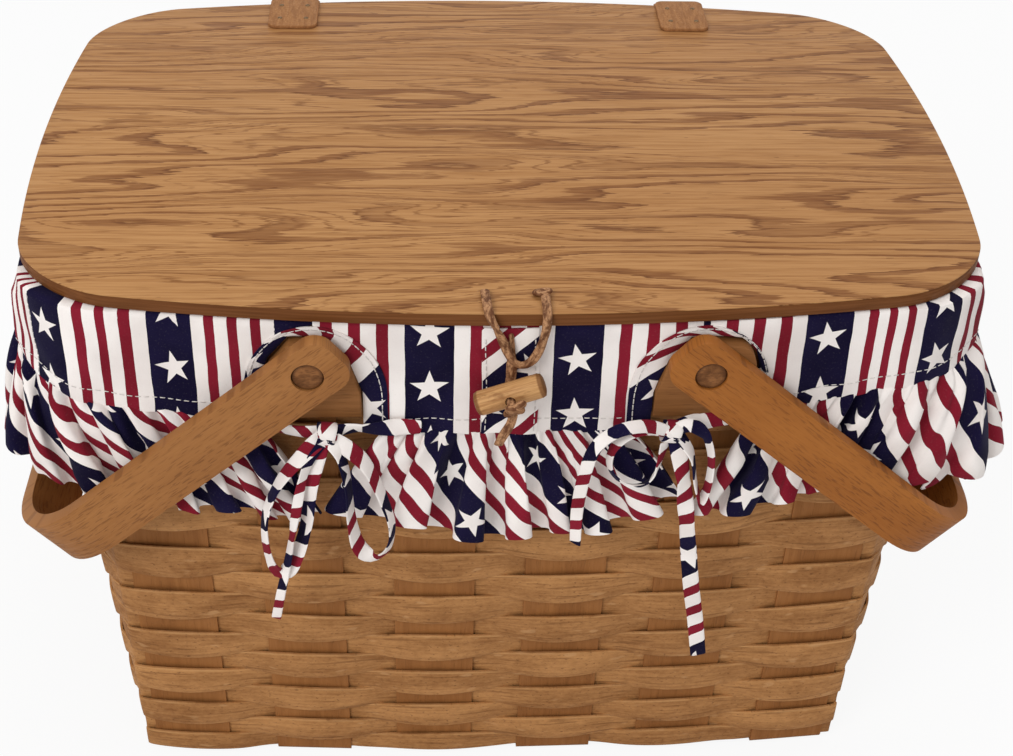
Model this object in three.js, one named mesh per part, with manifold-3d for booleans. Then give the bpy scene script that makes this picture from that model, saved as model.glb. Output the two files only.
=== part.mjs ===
// A two-handled picnic basket of woven splints, with a hinged board lid,
// a frilled cloth liner tied under its front ears, and a toggle closure.
// Millimetres, +Z up, origin on the floor under the middle of the basket.
// +X is the basket's right as seen from the front, and the front faces -Y.

import * as THREE from 'three';
import { mergeVertices } from 'three/addons/utils/BufferGeometryUtils.js';
import Module from 'manifold-3d';

const wasm = await Module();
wasm.setup();

// Running and seating clearance between neighbouring pieces
const CLEARANCE = 0.3;

// Driving dimensions of the woven body, measured to the uprights' mid surface
const BASE_LENGTH = 422;
const BASE_WIDTH = 296;
const RIM_LENGTH = 475;
const RIM_WIDTH = 324;
const BASE_END_BOW = 3;
const BASE_FRONT_BOW = 5;
const RIM_END_BOW = 11;
const RIM_FRONT_BOW = 20;
const RIM_HEIGHT = 329.5;
const CORNER_SOFTENING = 0.35;

// Uprights, which are splints that run down a wall, under the base and up again
const UPRIGHT_WIDTH = 44;
const UPRIGHT_THICKNESS = 1.6;
const FRONT_UPRIGHTS = 6;
const END_UPRIGHTS = 4;
const FRONT_PITCH = 71.6;
const END_PITCH = 68;
const BASE_TURN_HEIGHT = 4.2;

// Weavers, the level splints that pass over one upright and under the next
const WEAVER_ROWS = 17;
const WEAVER_THICKNESS = 1.4;
const FIRST_ROW_HEIGHT = 4.5;
const ROW_PITCH_GROWTH = 0.4;
const ROW_GAP = 0.5;
const CROSSING_MARGIN = 1;

// Rim bands, inside and outside the uprights' upper ends
const BAND_HEIGHT = 47.5;
const BAND_BOTTOM = RIM_HEIGHT - BAND_HEIGHT;
const OUTER_BAND_THICKNESS = 5;
const INNER_BAND_THICKNESS = 3.5;

// Lid board with its face veneer
const LID_END_OVERHANG = 10;
const LID_SIDE_OVERHANG = 10.5;
const LID_LENGTH = RIM_LENGTH + 2 * LID_END_OVERHANG;
const LID_WIDTH = RIM_WIDTH + 2 * LID_SIDE_OVERHANG;
const LID_THICKNESS = 7.5;
const LID_REST_GAP = 1.3;
const LID_VENEER = 0.8;
const LID_CORNER_RADIUS = 48;
const LID_END_BOW = 11.7;
const LID_FRONT_BOW = 23.6;
const CLOTH = 1.4;
const LIP_BOTTOM = RIM_HEIGHT + CLEARANCE;
const LIP_TOP = LIP_BOTTOM + CLOTH;
const LID_TOP = LIP_TOP + LID_REST_GAP + LID_THICKNESS;

// Ears, the shaped blocks that carry the swing handles
const EAR_SPACING = 193;
const EAR_WIDTH = 50;
const EAR_HEIGHT = 44;
const EAR_BELOW_RIM = 7.5;
const EAR_TOP = RIM_HEIGHT - EAR_BELOW_RIM;
const EAR_BOTTOM = EAR_TOP - EAR_HEIGHT;
const EAR_SHOULDER_DROP = 17;
const HANDLE_SIDE_GAP = 1.5;
const HANDLE_INNER_SPAN = LID_WIDTH + 2 * HANDLE_SIDE_GAP;
const EAR_LEG_GAP = 0.8;
const EAR_FRONT = HANDLE_INNER_SPAN / 2 - EAR_LEG_GAP;

// Swing handles, each a bent hoop that turns on a peg at each ear
const PIVOT_BELOW_RIM = 20.2;
const PIVOT_HEIGHT = RIM_HEIGHT - PIVOT_BELOW_RIM;
const PEG_DIAMETER = 17;
const PEG_HOLE_CLEARANCE = 0.3;
const PEG_RECESS = 1;
const HANDLE_THICKNESS = 8;
const HANDLE_END_ROOM = 47;
const HANDLE_REACH = (RIM_LENGTH - EAR_SPACING) / 2 + HANDLE_END_ROOM + HANDLE_THICKNESS;
const HANDLE_OVERHANG = 19;
const HANDLE_DEPTH = 30;
const HANDLE_BEND_RADIUS = 50;
const HANDLE_END_ROUNDING = 10;
const HANDLE_REST_GAP = 2.1;

// Leather hinge straps across the lid's back edge
const STRAP_SPACING = 242;
const STRAP_WIDTH = 30;
const STRAP_THICKNESS = 2.3;
const STRAP_LENGTH_ON_LID = 43;
const STRAP_LENGTH_ON_RIM = 19;
const HINGE_INSET = 2.5;
const HINGE_Y = LID_WIDTH / 2 - HINGE_INSET;

// Cloth liner: a bag inside, a lip over the rim, skirts and gathered ruffles
const LINER_EASE = 0.6;
const LIP_OVERHANG = 0.5;
const SKIRT_EASE = 0.9;
const SKIRT_DROP = 64.5;
const SKIRT_BOTTOM = RIM_HEIGHT - SKIRT_DROP;
const SKIRT_FLARE = 4;
const ARCH_HALF_WIDTH = 40;
const ARCH_RISE = 31.2;
const ARCH_SPRING = LIP_TOP - ARCH_RISE;
const ARCH_TOP_HALF_WIDTH = 6;
const ARCH_STEPS = 4;
const HINGE_NOTCH_EASE = 3;
const RUFFLE_LENGTH = 64;
const RUFFLE_BOTTOM = SKIRT_BOTTOM - RUFFLE_LENGTH;
const RUFFLE_GATHER = 1.5;
const FRONT_RUFFLE_FLARE = 23;
const END_RUFFLE_FLARE = 11;
const FRONT_FOLD = 5;
const END_FOLD = 3.6;
const FRONT_FOLDS = 6;
const END_FOLDS = 19;
const FOLD_STEPS = 4;

// Tie bows under the front ears, made of narrow folded tape
const TIE_WIDTH = 8;
const TIE_THICKNESS = 2.4;
const TAPE_STEPS = 2;
const KNOT_SIZE = 11;

// Toggle closure: a thong from the basket, a wooden toggle and a loop on the lid
const TOGGLE_LENGTH = 33;
const TOGGLE_DIAMETER = 12.5;
const TOGGLE_BELOW_RIM = 30.5;
const TOGGLE_HEIGHT = RIM_HEIGHT - TOGGLE_BELOW_RIM;
const TOGGLE_TILT = 20.5;
const TOGGLE_HOLE = 5.4;
const THONG_BELOW_RIM = 1.5;
const THONG_TOP = RIM_HEIGHT - THONG_BELOW_RIM;
const THONG_EASE = 0.4;
const THONG_WIDTH = 6;
const THONG_THICKNESS = 2;
const THONG_KNOT = 9;
const THONG_KNOT_DEPTH = 3.2;
const THONG_TAIL_DROP = 25;
const THONG_TAIL_WIDTH = 5;
const THONG_TAIL_THICKNESS = 1.6;
const THONG_TAIL_SLANT = 14;
const LOOP_WIDTH = 5;
const LOOP_THICKNESS = 1.7;
const LOOP_HALF_SPAN = 14;
const LOOP_CENTRE_X = 2.5;
const LOOP_HOLE_INSET = 17.5;
const LOOP_HOLE_Y = LID_WIDTH / 2 - LOOP_HOLE_INSET;
const LOOP_BELOW_RIM = 16.5;
const LOOP_BOTTOM = RIM_HEIGHT - LOOP_BELOW_RIM;
const LOOP_EASE = 0.6;
const LOOP_Y = LID_WIDTH / 2 + CLEARANCE + LOOP_EASE + LOOP_THICKNESS / 2;
const TOGGLE_Y = LOOP_Y + LOOP_THICKNESS / 2 + CLEARANCE + TOGGLE_DIAMETER / 2;

const woodMaterial = (color, roughness) =>
  new THREE.MeshStandardMaterial({ color, roughness, metalness: 0 });
const UPRIGHT_WOOD = woodMaterial(0x8f6238, 0.6);
const WEAVER_WOOD = woodMaterial(0x9f7049, 0.6);
const RIM_WOOD = woodMaterial(0x8a5c34, 0.55);
const HANDLE_WOOD = woodMaterial(0x9d6a40, 0.5);
const PEG_WOOD = woodMaterial(0x7a4c26, 0.55);
const LID_WOOD = woodMaterial(0xb08050, 0.45);
const LID_CORE_WOOD = woodMaterial(0x673913, 0.65);
const TOGGLE_WOOD = woodMaterial(0xb48455, 0.5);
const LEATHER = woodMaterial(0x8a5f3c, 0.75);
const LINER_CLOTH = woodMaterial(0xe0d9d6, 0.9);
const SKIRT_CLOTH = woodMaterial(0x1a1a40, 0.9);
const RUFFLE_CLOTH = woodMaterial(0x732d38, 0.9);
const TIE_CLOTH = woodMaterial(0xd8cfd0, 0.9);

const basket = new THREE.Group();

function addPiece(name, geometry, material, parent = basket) {
  const mesh = new THREE.Mesh(geometry, material);
  mesh.name = name;
  parent.add(mesh);
  return mesh;
}

// Closed solids built from vertex rings

function signedVolume(points, triangles) {
  let volume = 0;
  for (const [a, b, c] of triangles) {
    volume += points[a].dot(new THREE.Vector3().crossVectors(points[b], points[c]));
  }
  return volume;
}

function solidFrom(points, triangles) {
  const outward = signedVolume(points, triangles) > 0;
  const faces = outward ? triangles : triangles.map(([a, b, c]) => [a, c, b]);
  const geometry = new THREE.BufferGeometry();
  geometry.setAttribute(
    'position',
    new THREE.Float32BufferAttribute(points.flatMap((p) => [p.x, p.y, p.z]), 3),
  );
  geometry.setIndex(faces.flat());
  geometry.computeVertexNormals();
  return geometry;
}

// Each ring lists one face of a strip and then its other face in reverse, so
// that an open run of rings can be closed with a strip of quads at each end.
function loft(rings, closed) {
  const size = rings[0].length;
  const points = rings.flat();
  const triangles = [];
  const spans = closed ? rings.length : rings.length - 1;
  for (let i = 0; i < spans; i += 1) {
    const here = i * size;
    const next = ((i + 1) % rings.length) * size;
    for (let j = 0; j < size; j += 1) {
      const k = (j + 1) % size;
      triangles.push([here + j, next + j, next + k]);
      triangles.push([here + j, next + k, here + k]);
    }
  }
  if (!closed) {
    const last = (rings.length - 1) * size;
    for (let j = 0; j < size / 2 - 1; j += 1) {
      const a = j;
      const b = j + 1;
      const c = size - 2 - j;
      const d = size - 1 - j;
      triangles.push([a, b, c], [a, c, d]);
      triangles.push([last + a, last + c, last + b], [last + a, last + d, last + c]);
    }
  }
  return solidFrom(points, triangles);
}

// Level rings stacked into a closed cup, with a fan over each end
function stackRings(rings) {
  const size = rings[0].length;
  const points = rings.flat();
  const triangles = [];
  for (let i = 0; i < rings.length - 1; i += 1) {
    for (let j = 0; j < size; j += 1) {
      const k = (j + 1) % size;
      const here = i * size;
      const next = here + size;
      triangles.push([here + j, here + k, next + k], [here + j, next + k, next + j]);
    }
  }
  const ends = [rings[0], rings[rings.length - 1]].map((ring) => {
    const centre = new THREE.Vector3();
    ring.forEach((p) => centre.add(p));
    return centre.divideScalar(size);
  });
  const first = points.push(ends[0]) - 1;
  const second = points.push(ends[1]) - 1;
  const top = (rings.length - 1) * size;
  for (let j = 0; j < size; j += 1) {
    const k = (j + 1) % size;
    triangles.push([first, k, j], [second, top + j, top + k]);
  }
  return solidFrom(points, triangles);
}

// Boolean joins and cuts

function toManifold(geometry) {
  const bare = geometry.clone();
  bare.deleteAttribute('normal');
  if (bare.getAttribute('uv')) bare.deleteAttribute('uv');
  const merged = mergeVertices(bare, 1e-4);
  return new wasm.Manifold(
    new wasm.Mesh({
      numProp: 3,
      vertProperties: new Float32Array(merged.getAttribute('position').array),
      triVerts: new Uint32Array(merged.getIndex().array),
    }),
  );
}

function fromManifold(solid) {
  const mesh = solid.getMesh();
  const geometry = new THREE.BufferGeometry();
  geometry.setAttribute('position', new THREE.BufferAttribute(mesh.vertProperties, 3));
  geometry.setIndex(new THREE.BufferAttribute(mesh.triVerts, 1));
  geometry.computeVertexNormals();
  return geometry;
}

function cut(geometry, ...tools) {
  return fromManifold(tools.reduce((s, t) => s.subtract(toManifold(t)), toManifold(geometry)));
}

function common(geometry, tool) {
  return fromManifold(toManifold(geometry).intersect(toManifold(tool)));
}

function join(...geometries) {
  return fromManifold(geometries.map(toManifold).reduce((all, next) => all.add(next)));
}

// A cylinder along Y, centred at x, z
function rodAlongY(radius, yFrom, yTo, x, z, sides = 24) {
  const rod = new THREE.CylinderGeometry(radius, radius, yTo - yFrom, sides);
  rod.translate(x, (yFrom + yTo) / 2, z);
  return rod;
}

// Plan of the wall. A side has a running direction and an outward direction;
// u runs along it, and w is how far the wall stands out from the centre.
const SIDES = [
  { along: [1, 0], out: [0, -1], count: FRONT_UPRIGHTS, pitch: FRONT_PITCH, front: true },
  { along: [0, 1], out: [1, 0], count: END_UPRIGHTS, pitch: END_PITCH, front: false },
  { along: [-1, 0], out: [0, 1], count: FRONT_UPRIGHTS, pitch: FRONT_PITCH, front: true },
  { along: [0, -1], out: [-1, 0], count: END_UPRIGHTS, pitch: END_PITCH, front: false },
];

function wallPlan(side, atRim) {
  const length = atRim ? RIM_LENGTH : BASE_LENGTH;
  const width = atRim ? RIM_WIDTH : BASE_WIDTH;
  const frontBow = atRim ? RIM_FRONT_BOW : BASE_FRONT_BOW;
  const endBow = atRim ? RIM_END_BOW : BASE_END_BOW;
  return side.front
    ? { reach: width / 2, half: length / 2, bow: frontBow }
    : { reach: length / 2, half: width / 2, bow: endBow };
}

function standOut(side, atRim, u) {
  const plan = wallPlan(side, atRim);
  return plan.reach - plan.bow * (u / plan.half) ** 2;
}

function wallSlope(side, u) {
  const slopes = [false, true].map((atRim) => {
    const plan = wallPlan(side, atRim);
    return (-2 * plan.bow * u) / plan.half ** 2;
  });
  return (slopes[0] + slopes[1]) / 2;
}

function inPlan(side, u, w) {
  return new THREE.Vector2(
    side.along[0] * u + side.out[0] * w,
    side.along[1] * u + side.out[1] * w,
  );
}

// An upright's frame: its middle at base and rim, its tangent and its normal
function uprightFrame(side, index) {
  const u = (index - (side.count - 1) / 2) * side.pitch;
  const slope = wallSlope(side, u);
  return {
    base: inPlan(side, u, standOut(side, false, u)),
    rim: inPlan(side, u, standOut(side, true, u)),
    tangent: inPlan(side, 1, slope).normalize(),
    normal: inPlan(side, -slope, 1).normalize(),
  };
}

// Stations go once round the basket, two for each upright and two for each
// corner. Between stations every ring runs straight, so rings never cut across.
const HALF_CROSSING = UPRIGHT_WIDTH / 2 + CROSSING_MARGIN;
const CORNER_SHARES = [1 / 3, 2 / 3];

function cornerPoint(from, fromWay, to, toWay, share) {
  const span = to.clone().sub(from);
  const reach = span.cross(toWay) / fromWay.cross(toWay);
  const meeting = from.clone().addScaledVector(fromWay, reach);
  const chordMiddle = from.clone().add(to).multiplyScalar(0.5);
  meeting.lerp(chordMiddle, CORNER_SOFTENING);
  const first = from.clone().lerp(meeting, share);
  const second = meeting.clone().lerp(to, share);
  return first.lerp(second, share);
}

function makeStations() {
  const uprights = SIDES.flatMap((side, sideIndex) =>
    Array.from({ length: side.count }, (_, i) => ({ ...uprightFrame(side, i), sideIndex })),
  );
  const stations = [];
  uprights.forEach((upright, i) => {
    for (const end of [-1, 1]) {
      const shift = upright.tangent.clone().multiplyScalar(end * HALF_CROSSING);
      stations.push({
        base: upright.base.clone().add(shift),
        rim: upright.rim.clone().add(shift),
        normal: upright.normal,
        side: upright.sideIndex,
        upright: i,
      });
    }
    const next = uprights[(i + 1) % uprights.length];
    if (next.sideIndex === upright.sideIndex) return;
    const leave = stations[stations.length - 1];
    const back = next.tangent.clone().multiplyScalar(-HALF_CROSSING);
    for (const share of CORNER_SHARES) {
      const corner = (level) =>
        cornerPoint(
          leave[level],
          upright.tangent,
          next[level].clone().add(back),
          next.tangent.clone().negate(),
          share,
        );
      stations.push({
        base: corner('base'),
        rim: corner('rim'),
        normal: upright.normal.clone().lerp(next.normal, share).normalize(),
        side: -1,
        upright: -1,
      });
    }
  });
  return { uprights, stations };
}

const { uprights, stations } = makeStations();

// A point of the wall at a station, height z and distance out of the mid surface
function wallPoint(station, z, out) {
  const plan = station.base.clone().lerp(station.rim, z / RIM_HEIGHT);
  plan.addScaledVector(station.normal, out);
  return new THREE.Vector3(plan.x, plan.y, z);
}

// A station between two others; position is counted in stations
function stationAt(position) {
  const index = Math.floor(position);
  const share = position - index;
  const a = stations[((index % stations.length) + stations.length) % stations.length];
  const b = stations[(((index + 1) % stations.length) + stations.length) % stations.length];
  return {
    base: a.base.clone().lerp(b.base, share),
    rim: a.rim.clone().lerp(b.rim, share),
    normal: a.normal.clone().lerp(b.normal, share),
  };
}

// Where the front or back side has the given x, as a position in stations
function positionAtX(sideIndex, x) {
  for (let i = 0; i < stations.length; i += 1) {
    const a = stations[i];
    const b = stations[(i + 1) % stations.length];
    const onSide = a.side === sideIndex && b.side === sideIndex;
    if (onSide && (x - a.rim.x) * (x - b.rim.x) <= 0) {
      return i + (x - a.rim.x) / (b.rim.x - a.rim.x);
    }
  }
  return -1;
}

// Woven body

const UPRIGHT_OUT = UPRIGHT_THICKNESS / 2;
const WEAVER_OUT = UPRIGHT_OUT + CLEARANCE + WEAVER_THICKNESS / 2;
const WEAVER_FACE = WEAVER_OUT + WEAVER_THICKNESS / 2;

// Lower edge of a row. Rows grow taller upward and end under the rim bands.
function rowEdge(row) {
  const growth = (ROW_PITCH_GROWTH / 2) * WEAVER_ROWS ** 2;
  const firstPitch = (BAND_BOTTOM - FIRST_ROW_HEIGHT - growth) / WEAVER_ROWS;
  return FIRST_ROW_HEIGHT + firstPitch * row + (ROW_PITCH_GROWTH / 2) * row ** 2;
}

function addWeavers() {
  for (let row = 0; row < WEAVER_ROWS; row += 1) {
    const low = rowEdge(row);
    const high = rowEdge(row + 1) - ROW_GAP;
    const outs = stations.map((station, i) => {
      const over = (station.upright + row) % 2 === 0 ? WEAVER_OUT : -WEAVER_OUT;
      if (station.upright >= 0) return over;
      const before = stations[i - 1].upright >= 0;
      const near = before ? stations[i - 1] : stations[(i + 1) % stations.length];
      const nearOut = (near.upright + row) % 2 === 0 ? WEAVER_OUT : -WEAVER_OUT;
      return nearOut / 3;
    });
    const half = WEAVER_THICKNESS / 2;
    const rings = stations.map((station, i) => [
      wallPoint(station, low, outs[i] + half),
      wallPoint(station, high, outs[i] + half),
      wallPoint(station, high, outs[i] - half),
      wallPoint(station, low, outs[i] - half),
    ]);
    const label = String(row + 1).padStart(2, '0');
    addPiece(`weaver_row_${label}`, loft(rings, true), WEAVER_WOOD);
  }
}

// Base weave: crosswise and lengthwise straps take turns to pass underneath
const BASE_LIFT = (UPRIGHT_THICKNESS + CLEARANCE) / 2;
const BASE_LEVEL = UPRIGHT_OUT + BASE_LIFT;

// Path of a strap in its own upright plane, as distance and height pairs
function strapPath(side, index) {
  const frame = uprightFrame(side, index);
  const isCross = side.front;
  const crossCount = isCross ? END_UPRIGHTS : FRONT_UPRIGHTS;
  const crossPitch = isCross ? END_PITCH : FRONT_PITCH;
  const u = (index - (side.count - 1) / 2) * side.pitch;
  const baseReach = standOut(side, false, u);
  const rimReach = standOut(side, true, u);
  const turnReach = baseReach + ((rimReach - baseReach) * BASE_TURN_HEIGHT) / RIM_HEIGHT;
  const half = [[turnReach - 0.9, BASE_LEVEL + 0.6], [turnReach - 3.5, BASE_LEVEL]];
  const path = [[-rimReach, RIM_HEIGHT], [-turnReach, BASE_TURN_HEIGHT]];
  half.forEach(([d, z]) => path.push([-d, z]));
  for (let j = 0; j < crossCount; j += 1) {
    const middle = (j - (crossCount - 1) / 2) * crossPitch;
    const partner = isCross ? j : crossCount - 1 - j;
    const high = (index + partner) % 2 === 0 ? isCross : !isCross;
    const level = BASE_LEVEL + (high ? BASE_LIFT : -BASE_LIFT);
    path.push([middle - HALF_CROSSING, level], [middle + HALF_CROSSING, level]);
  }
  half.slice().reverse().forEach(([d, z]) => path.push([d, z]));
  path.push([turnReach, BASE_TURN_HEIGHT], [rimReach, RIM_HEIGHT]);
  return { path, u, frame };
}

function mitre(path, i) {
  const before = path[Math.max(i - 1, 0)];
  const after = path[Math.min(i + 1, path.length - 1)];
  const here = path[i];
  const unit = (a, b) => new THREE.Vector2(b[0] - a[0], b[1] - a[1]).normalize();
  const first = i > 0 ? unit(before, here) : unit(here, after);
  const second = i < path.length - 1 ? unit(here, after) : first;
  const normal = new THREE.Vector2(-first.y - second.y, first.x + second.x).normalize();
  const stretch = normal.dot(new THREE.Vector2(-first.y, first.x));
  return normal.divideScalar(stretch);
}

function addStraps() {
  for (const sideIndex of [0, 1]) {
    const side = SIDES[sideIndex];
    const opposite = SIDES[sideIndex + 2];
    for (let index = 0; index < side.count; index += 1) {
      const { path, u } = strapPath(side, index);
      const near = uprightFrame(side, index);
      const far = uprightFrame(opposite, side.count - 1 - index);
      const level = inPlan(side, 1, 0);
      const rings = path.map(([distance, z], i) => {
        const onWall = Math.abs(distance) > standOut(side, false, u) - 1.5;
        const atNear = distance < 0;
        const wall = atNear ? near : far;
        const across = onWall ? wall.tangent.clone() : level.clone();
        if (across.dot(level) < 0) across.negate();
        const centre = inPlan(side, u, -distance);
        const lean = mitre(path, i);
        const ring = [];
        for (const [end, face] of [[-1, 1], [1, 1], [1, -1], [-1, -1]]) {
          const plan = centre.clone().addScaledVector(across, (end * UPRIGHT_WIDTH) / 2);
          const shift = face * UPRIGHT_OUT;
          const outward = onWall ? wall.normal.clone() : inPlan(side, 0, -Math.sign(distance));
          const towards = atNear ? -lean.x : lean.x;
          plan.addScaledVector(outward, shift * towards);
          ring.push(new THREE.Vector3(plan.x, plan.y, z + shift * lean.y));
        }
        return ring;
      });
      const kind = side.front ? 'crosswise' : 'lengthwise';
      addPiece(`upright_${kind}_${index + 1}`, loft(rings, false), UPRIGHT_WOOD);
    }
  }
}

function bandGeometry(inner, outer, low, high) {
  const rings = stations.map((station) => [
    wallPoint(station, low, outer),
    wallPoint(station, high, outer),
    wallPoint(station, high, inner),
    wallPoint(station, low, inner),
  ]);
  return loft(rings, true);
}

const BAND_INNER = UPRIGHT_OUT + CLEARANCE;
const BAND_OUT = BAND_INNER + OUTER_BAND_THICKNESS;
const BAND_IN = BAND_INNER + INNER_BAND_THICKNESS;
const pegRadius = PEG_DIAMETER / 2;
const holeRadius = pegRadius + PEG_HOLE_CLEARANCE;
const earX = EAR_SPACING / 2;
const PEG_INNER_END = RIM_WIDTH / 2 - RIM_FRONT_BOW * (EAR_SPACING / RIM_LENGTH) ** 2 + 1;

function pegHoles() {
  const holes = [];
  for (const x of [-earX, earX]) {
    for (const way of [-1, 1]) {
      const ends = [way * (PEG_INNER_END - 6), way * (EAR_FRONT + 1)].sort((a, b) => a - b);
      holes.push(rodAlongY(holeRadius, ends[0], ends[1], x, PIVOT_HEIGHT));
    }
  }
  return holes;
}

function addBands() {
  const outer = bandGeometry(BAND_INNER, BAND_OUT, BAND_BOTTOM, RIM_HEIGHT);
  addPiece('rim_band_outer', cut(outer, ...pegHoles()), RIM_WOOD);
  const inner = bandGeometry(-BAND_IN, -BAND_INNER, BAND_BOTTOM, RIM_HEIGHT);
  addPiece('rim_band_inner', inner, RIM_WOOD);
}

// Ears with fitted backs, and the pegs that the handles turn on

function earOutline() {
  const half = EAR_WIDTH / 2;
  const shoulder = EAR_TOP - EAR_SHOULDER_DROP;
  const shape = new THREE.Shape();
  shape.moveTo(-half, EAR_BOTTOM);
  shape.lineTo(half, EAR_BOTTOM);
  shape.lineTo(half - 1, shoulder);
  shape.quadraticCurveTo(half - 2, EAR_TOP - 3, half - 9, EAR_TOP - 2);
  shape.lineTo(0, EAR_TOP);
  shape.lineTo(9 - half, EAR_TOP - 2);
  shape.quadraticCurveTo(2 - half, EAR_TOP - 3, 1 - half, shoulder);
  shape.closePath();
  return shape;
}

// Turns an outline in x and z into a block between two y values
function blockAlongY(shape, yFrom, yTo, curveSegments = 5) {
  const geometry = new THREE.ExtrudeGeometry(shape, {
    depth: yTo - yFrom,
    bevelEnabled: false,
    curveSegments,
  });
  geometry.rotateX(Math.PI / 2);
  geometry.translate(0, yTo, 0);
  return geometry;
}

// Everything up to a distance out of the wall, as one solid plug
function wallPlug(out, low, high) {
  const ring = (z) => stations.map((station) => wallPoint(station, z, out));
  return stackRings([ring(low), ring(high)]);
}

function addEars() {
  const plug = wallPlug(BAND_OUT + CLEARANCE, EAR_BOTTOM - 20, EAR_TOP + 5);
  for (const [endName, x] of [['left', -earX], ['right', earX]]) {
    for (const [faceName, way] of [['front', -1], ['back', 1]]) {
      const ends = [way * (PEG_INNER_END - 8), way * EAR_FRONT].sort((a, b) => a - b);
      const block = blockAlongY(earOutline(), ends[0], ends[1]);
      block.translate(x, 0, 0);
      const hole = rodAlongY(holeRadius, ends[0] - 1, ends[1] + 1, x, PIVOT_HEIGHT);
      addPiece(`ear_${endName}_${faceName}`, cut(block, plug, hole), RIM_WOOD);
      const outerEnd = HANDLE_INNER_SPAN / 2 + HANDLE_THICKNESS - PEG_RECESS;
      const pegEnds = [way * PEG_INNER_END, way * outerEnd].sort((a, b) => a - b);
      const peg = rodAlongY(pegRadius, pegEnds[0], pegEnds[1], x, PIVOT_HEIGHT);
      addPiece(`peg_${endName}_${faceName}`, peg, PEG_WOOD);
    }
  }
}

// Swing handles. In its own frame a handle's x runs from the pivot to the bow,
// y is the basket's depth, and z is the width of the bent wood.

function hoopShape() {
  const innerHalf = HANDLE_INNER_SPAN / 2;
  const outerHalf = innerHalf + HANDLE_THICKNESS;
  const innerReach = HANDLE_REACH - HANDLE_THICKNESS;
  const bend = HANDLE_BEND_RADIUS;
  const innerBend = bend - HANDLE_THICKNESS;
  const shape = new THREE.Shape();
  shape.moveTo(-HANDLE_OVERHANG, -outerHalf);
  shape.lineTo(HANDLE_REACH - bend, -outerHalf);
  shape.absarc(HANDLE_REACH - bend, bend - outerHalf, bend, -Math.PI / 2, 0, false);
  shape.absarc(HANDLE_REACH - bend, outerHalf - bend, bend, 0, Math.PI / 2, false);
  shape.lineTo(-HANDLE_OVERHANG, outerHalf);
  shape.lineTo(-HANDLE_OVERHANG, innerHalf);
  shape.absarc(innerReach - innerBend, innerHalf - innerBend, innerBend, Math.PI / 2, 0, true);
  shape.absarc(innerReach - innerBend, innerBend - innerHalf, innerBend, 0, -Math.PI / 2, true);
  shape.lineTo(-HANDLE_OVERHANG, -innerHalf);
  shape.closePath();
  return shape;
}

// Side view of the hoop, which rounds the legs' free ends
function legShape() {
  const half = HANDLE_DEPTH / 2;
  const round = HANDLE_END_ROUNDING;
  const shape = new THREE.Shape();
  shape.moveTo(HANDLE_REACH + 1, -half);
  shape.lineTo(HANDLE_REACH + 1, half);
  shape.lineTo(round - HANDLE_OVERHANG, half);
  shape.absarc(round - HANDLE_OVERHANG, half - round, round, Math.PI / 2, Math.PI, false);
  shape.absarc(round - HANDLE_OVERHANG, round - half, round, Math.PI, 1.5 * Math.PI, false);
  shape.closePath();
  return shape;
}

function hoopGeometry() {
  const hoop = new THREE.ExtrudeGeometry(hoopShape(), {
    depth: HANDLE_DEPTH,
    bevelEnabled: false,
    curveSegments: 7,
  });
  hoop.translate(0, 0, -HANDLE_DEPTH / 2);
  const reach = HANDLE_INNER_SPAN / 2 + HANDLE_THICKNESS + 2;
  const side = blockAlongY(legShape(), -reach, reach, 4);
  const hole = rodAlongY(holeRadius, -reach, reach, 0, 0);
  return cut(common(hoop, side), hole);
}

// The angle below level at which the bow's lower edge comes to the end wall
function restAngle() {
  const reach = HANDLE_REACH - HANDLE_THICKNESS;
  const half = HANDLE_DEPTH / 2;
  let level = 0;
  let steep = Math.PI / 3;
  for (let i = 0; i < 40; i += 1) {
    const angle = (level + steep) / 2;
    const x = earX + reach * Math.cos(angle) - half * Math.sin(angle);
    const z = PIVOT_HEIGHT - reach * Math.sin(angle) - half * Math.cos(angle);
    const wall = THREE.MathUtils.lerp(BASE_LENGTH, RIM_LENGTH, z / RIM_HEIGHT) / 2;
    if (x > wall + WEAVER_FACE + HANDLE_REST_GAP) level = angle;
    else steep = angle;
  }
  return level;
}

function addHandles() {
  const drop = restAngle();
  const hoop = hoopGeometry();
  const left = addPiece('handle_left', hoop.clone(), HANDLE_WOOD);
  left.position.set(-earX, 0, PIVOT_HEIGHT);
  left.rotation.y = Math.PI - drop;
  const right = addPiece('handle_right', hoop.clone(), HANDLE_WOOD);
  right.position.set(earX, 0, PIVOT_HEIGHT);
  right.rotation.y = drop;
}

// Lid board, a rectangle with bowed sides and round corners

function bowed(x, y) {
  const a = LID_LENGTH / 2;
  const b = LID_WIDTH / 2;
  return new THREE.Vector2(
    x * (1 - (LID_END_BOW / a) * (y / b) ** 2),
    y * (1 - (LID_FRONT_BOW / b) * (x / a) ** 2),
  );
}

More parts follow.
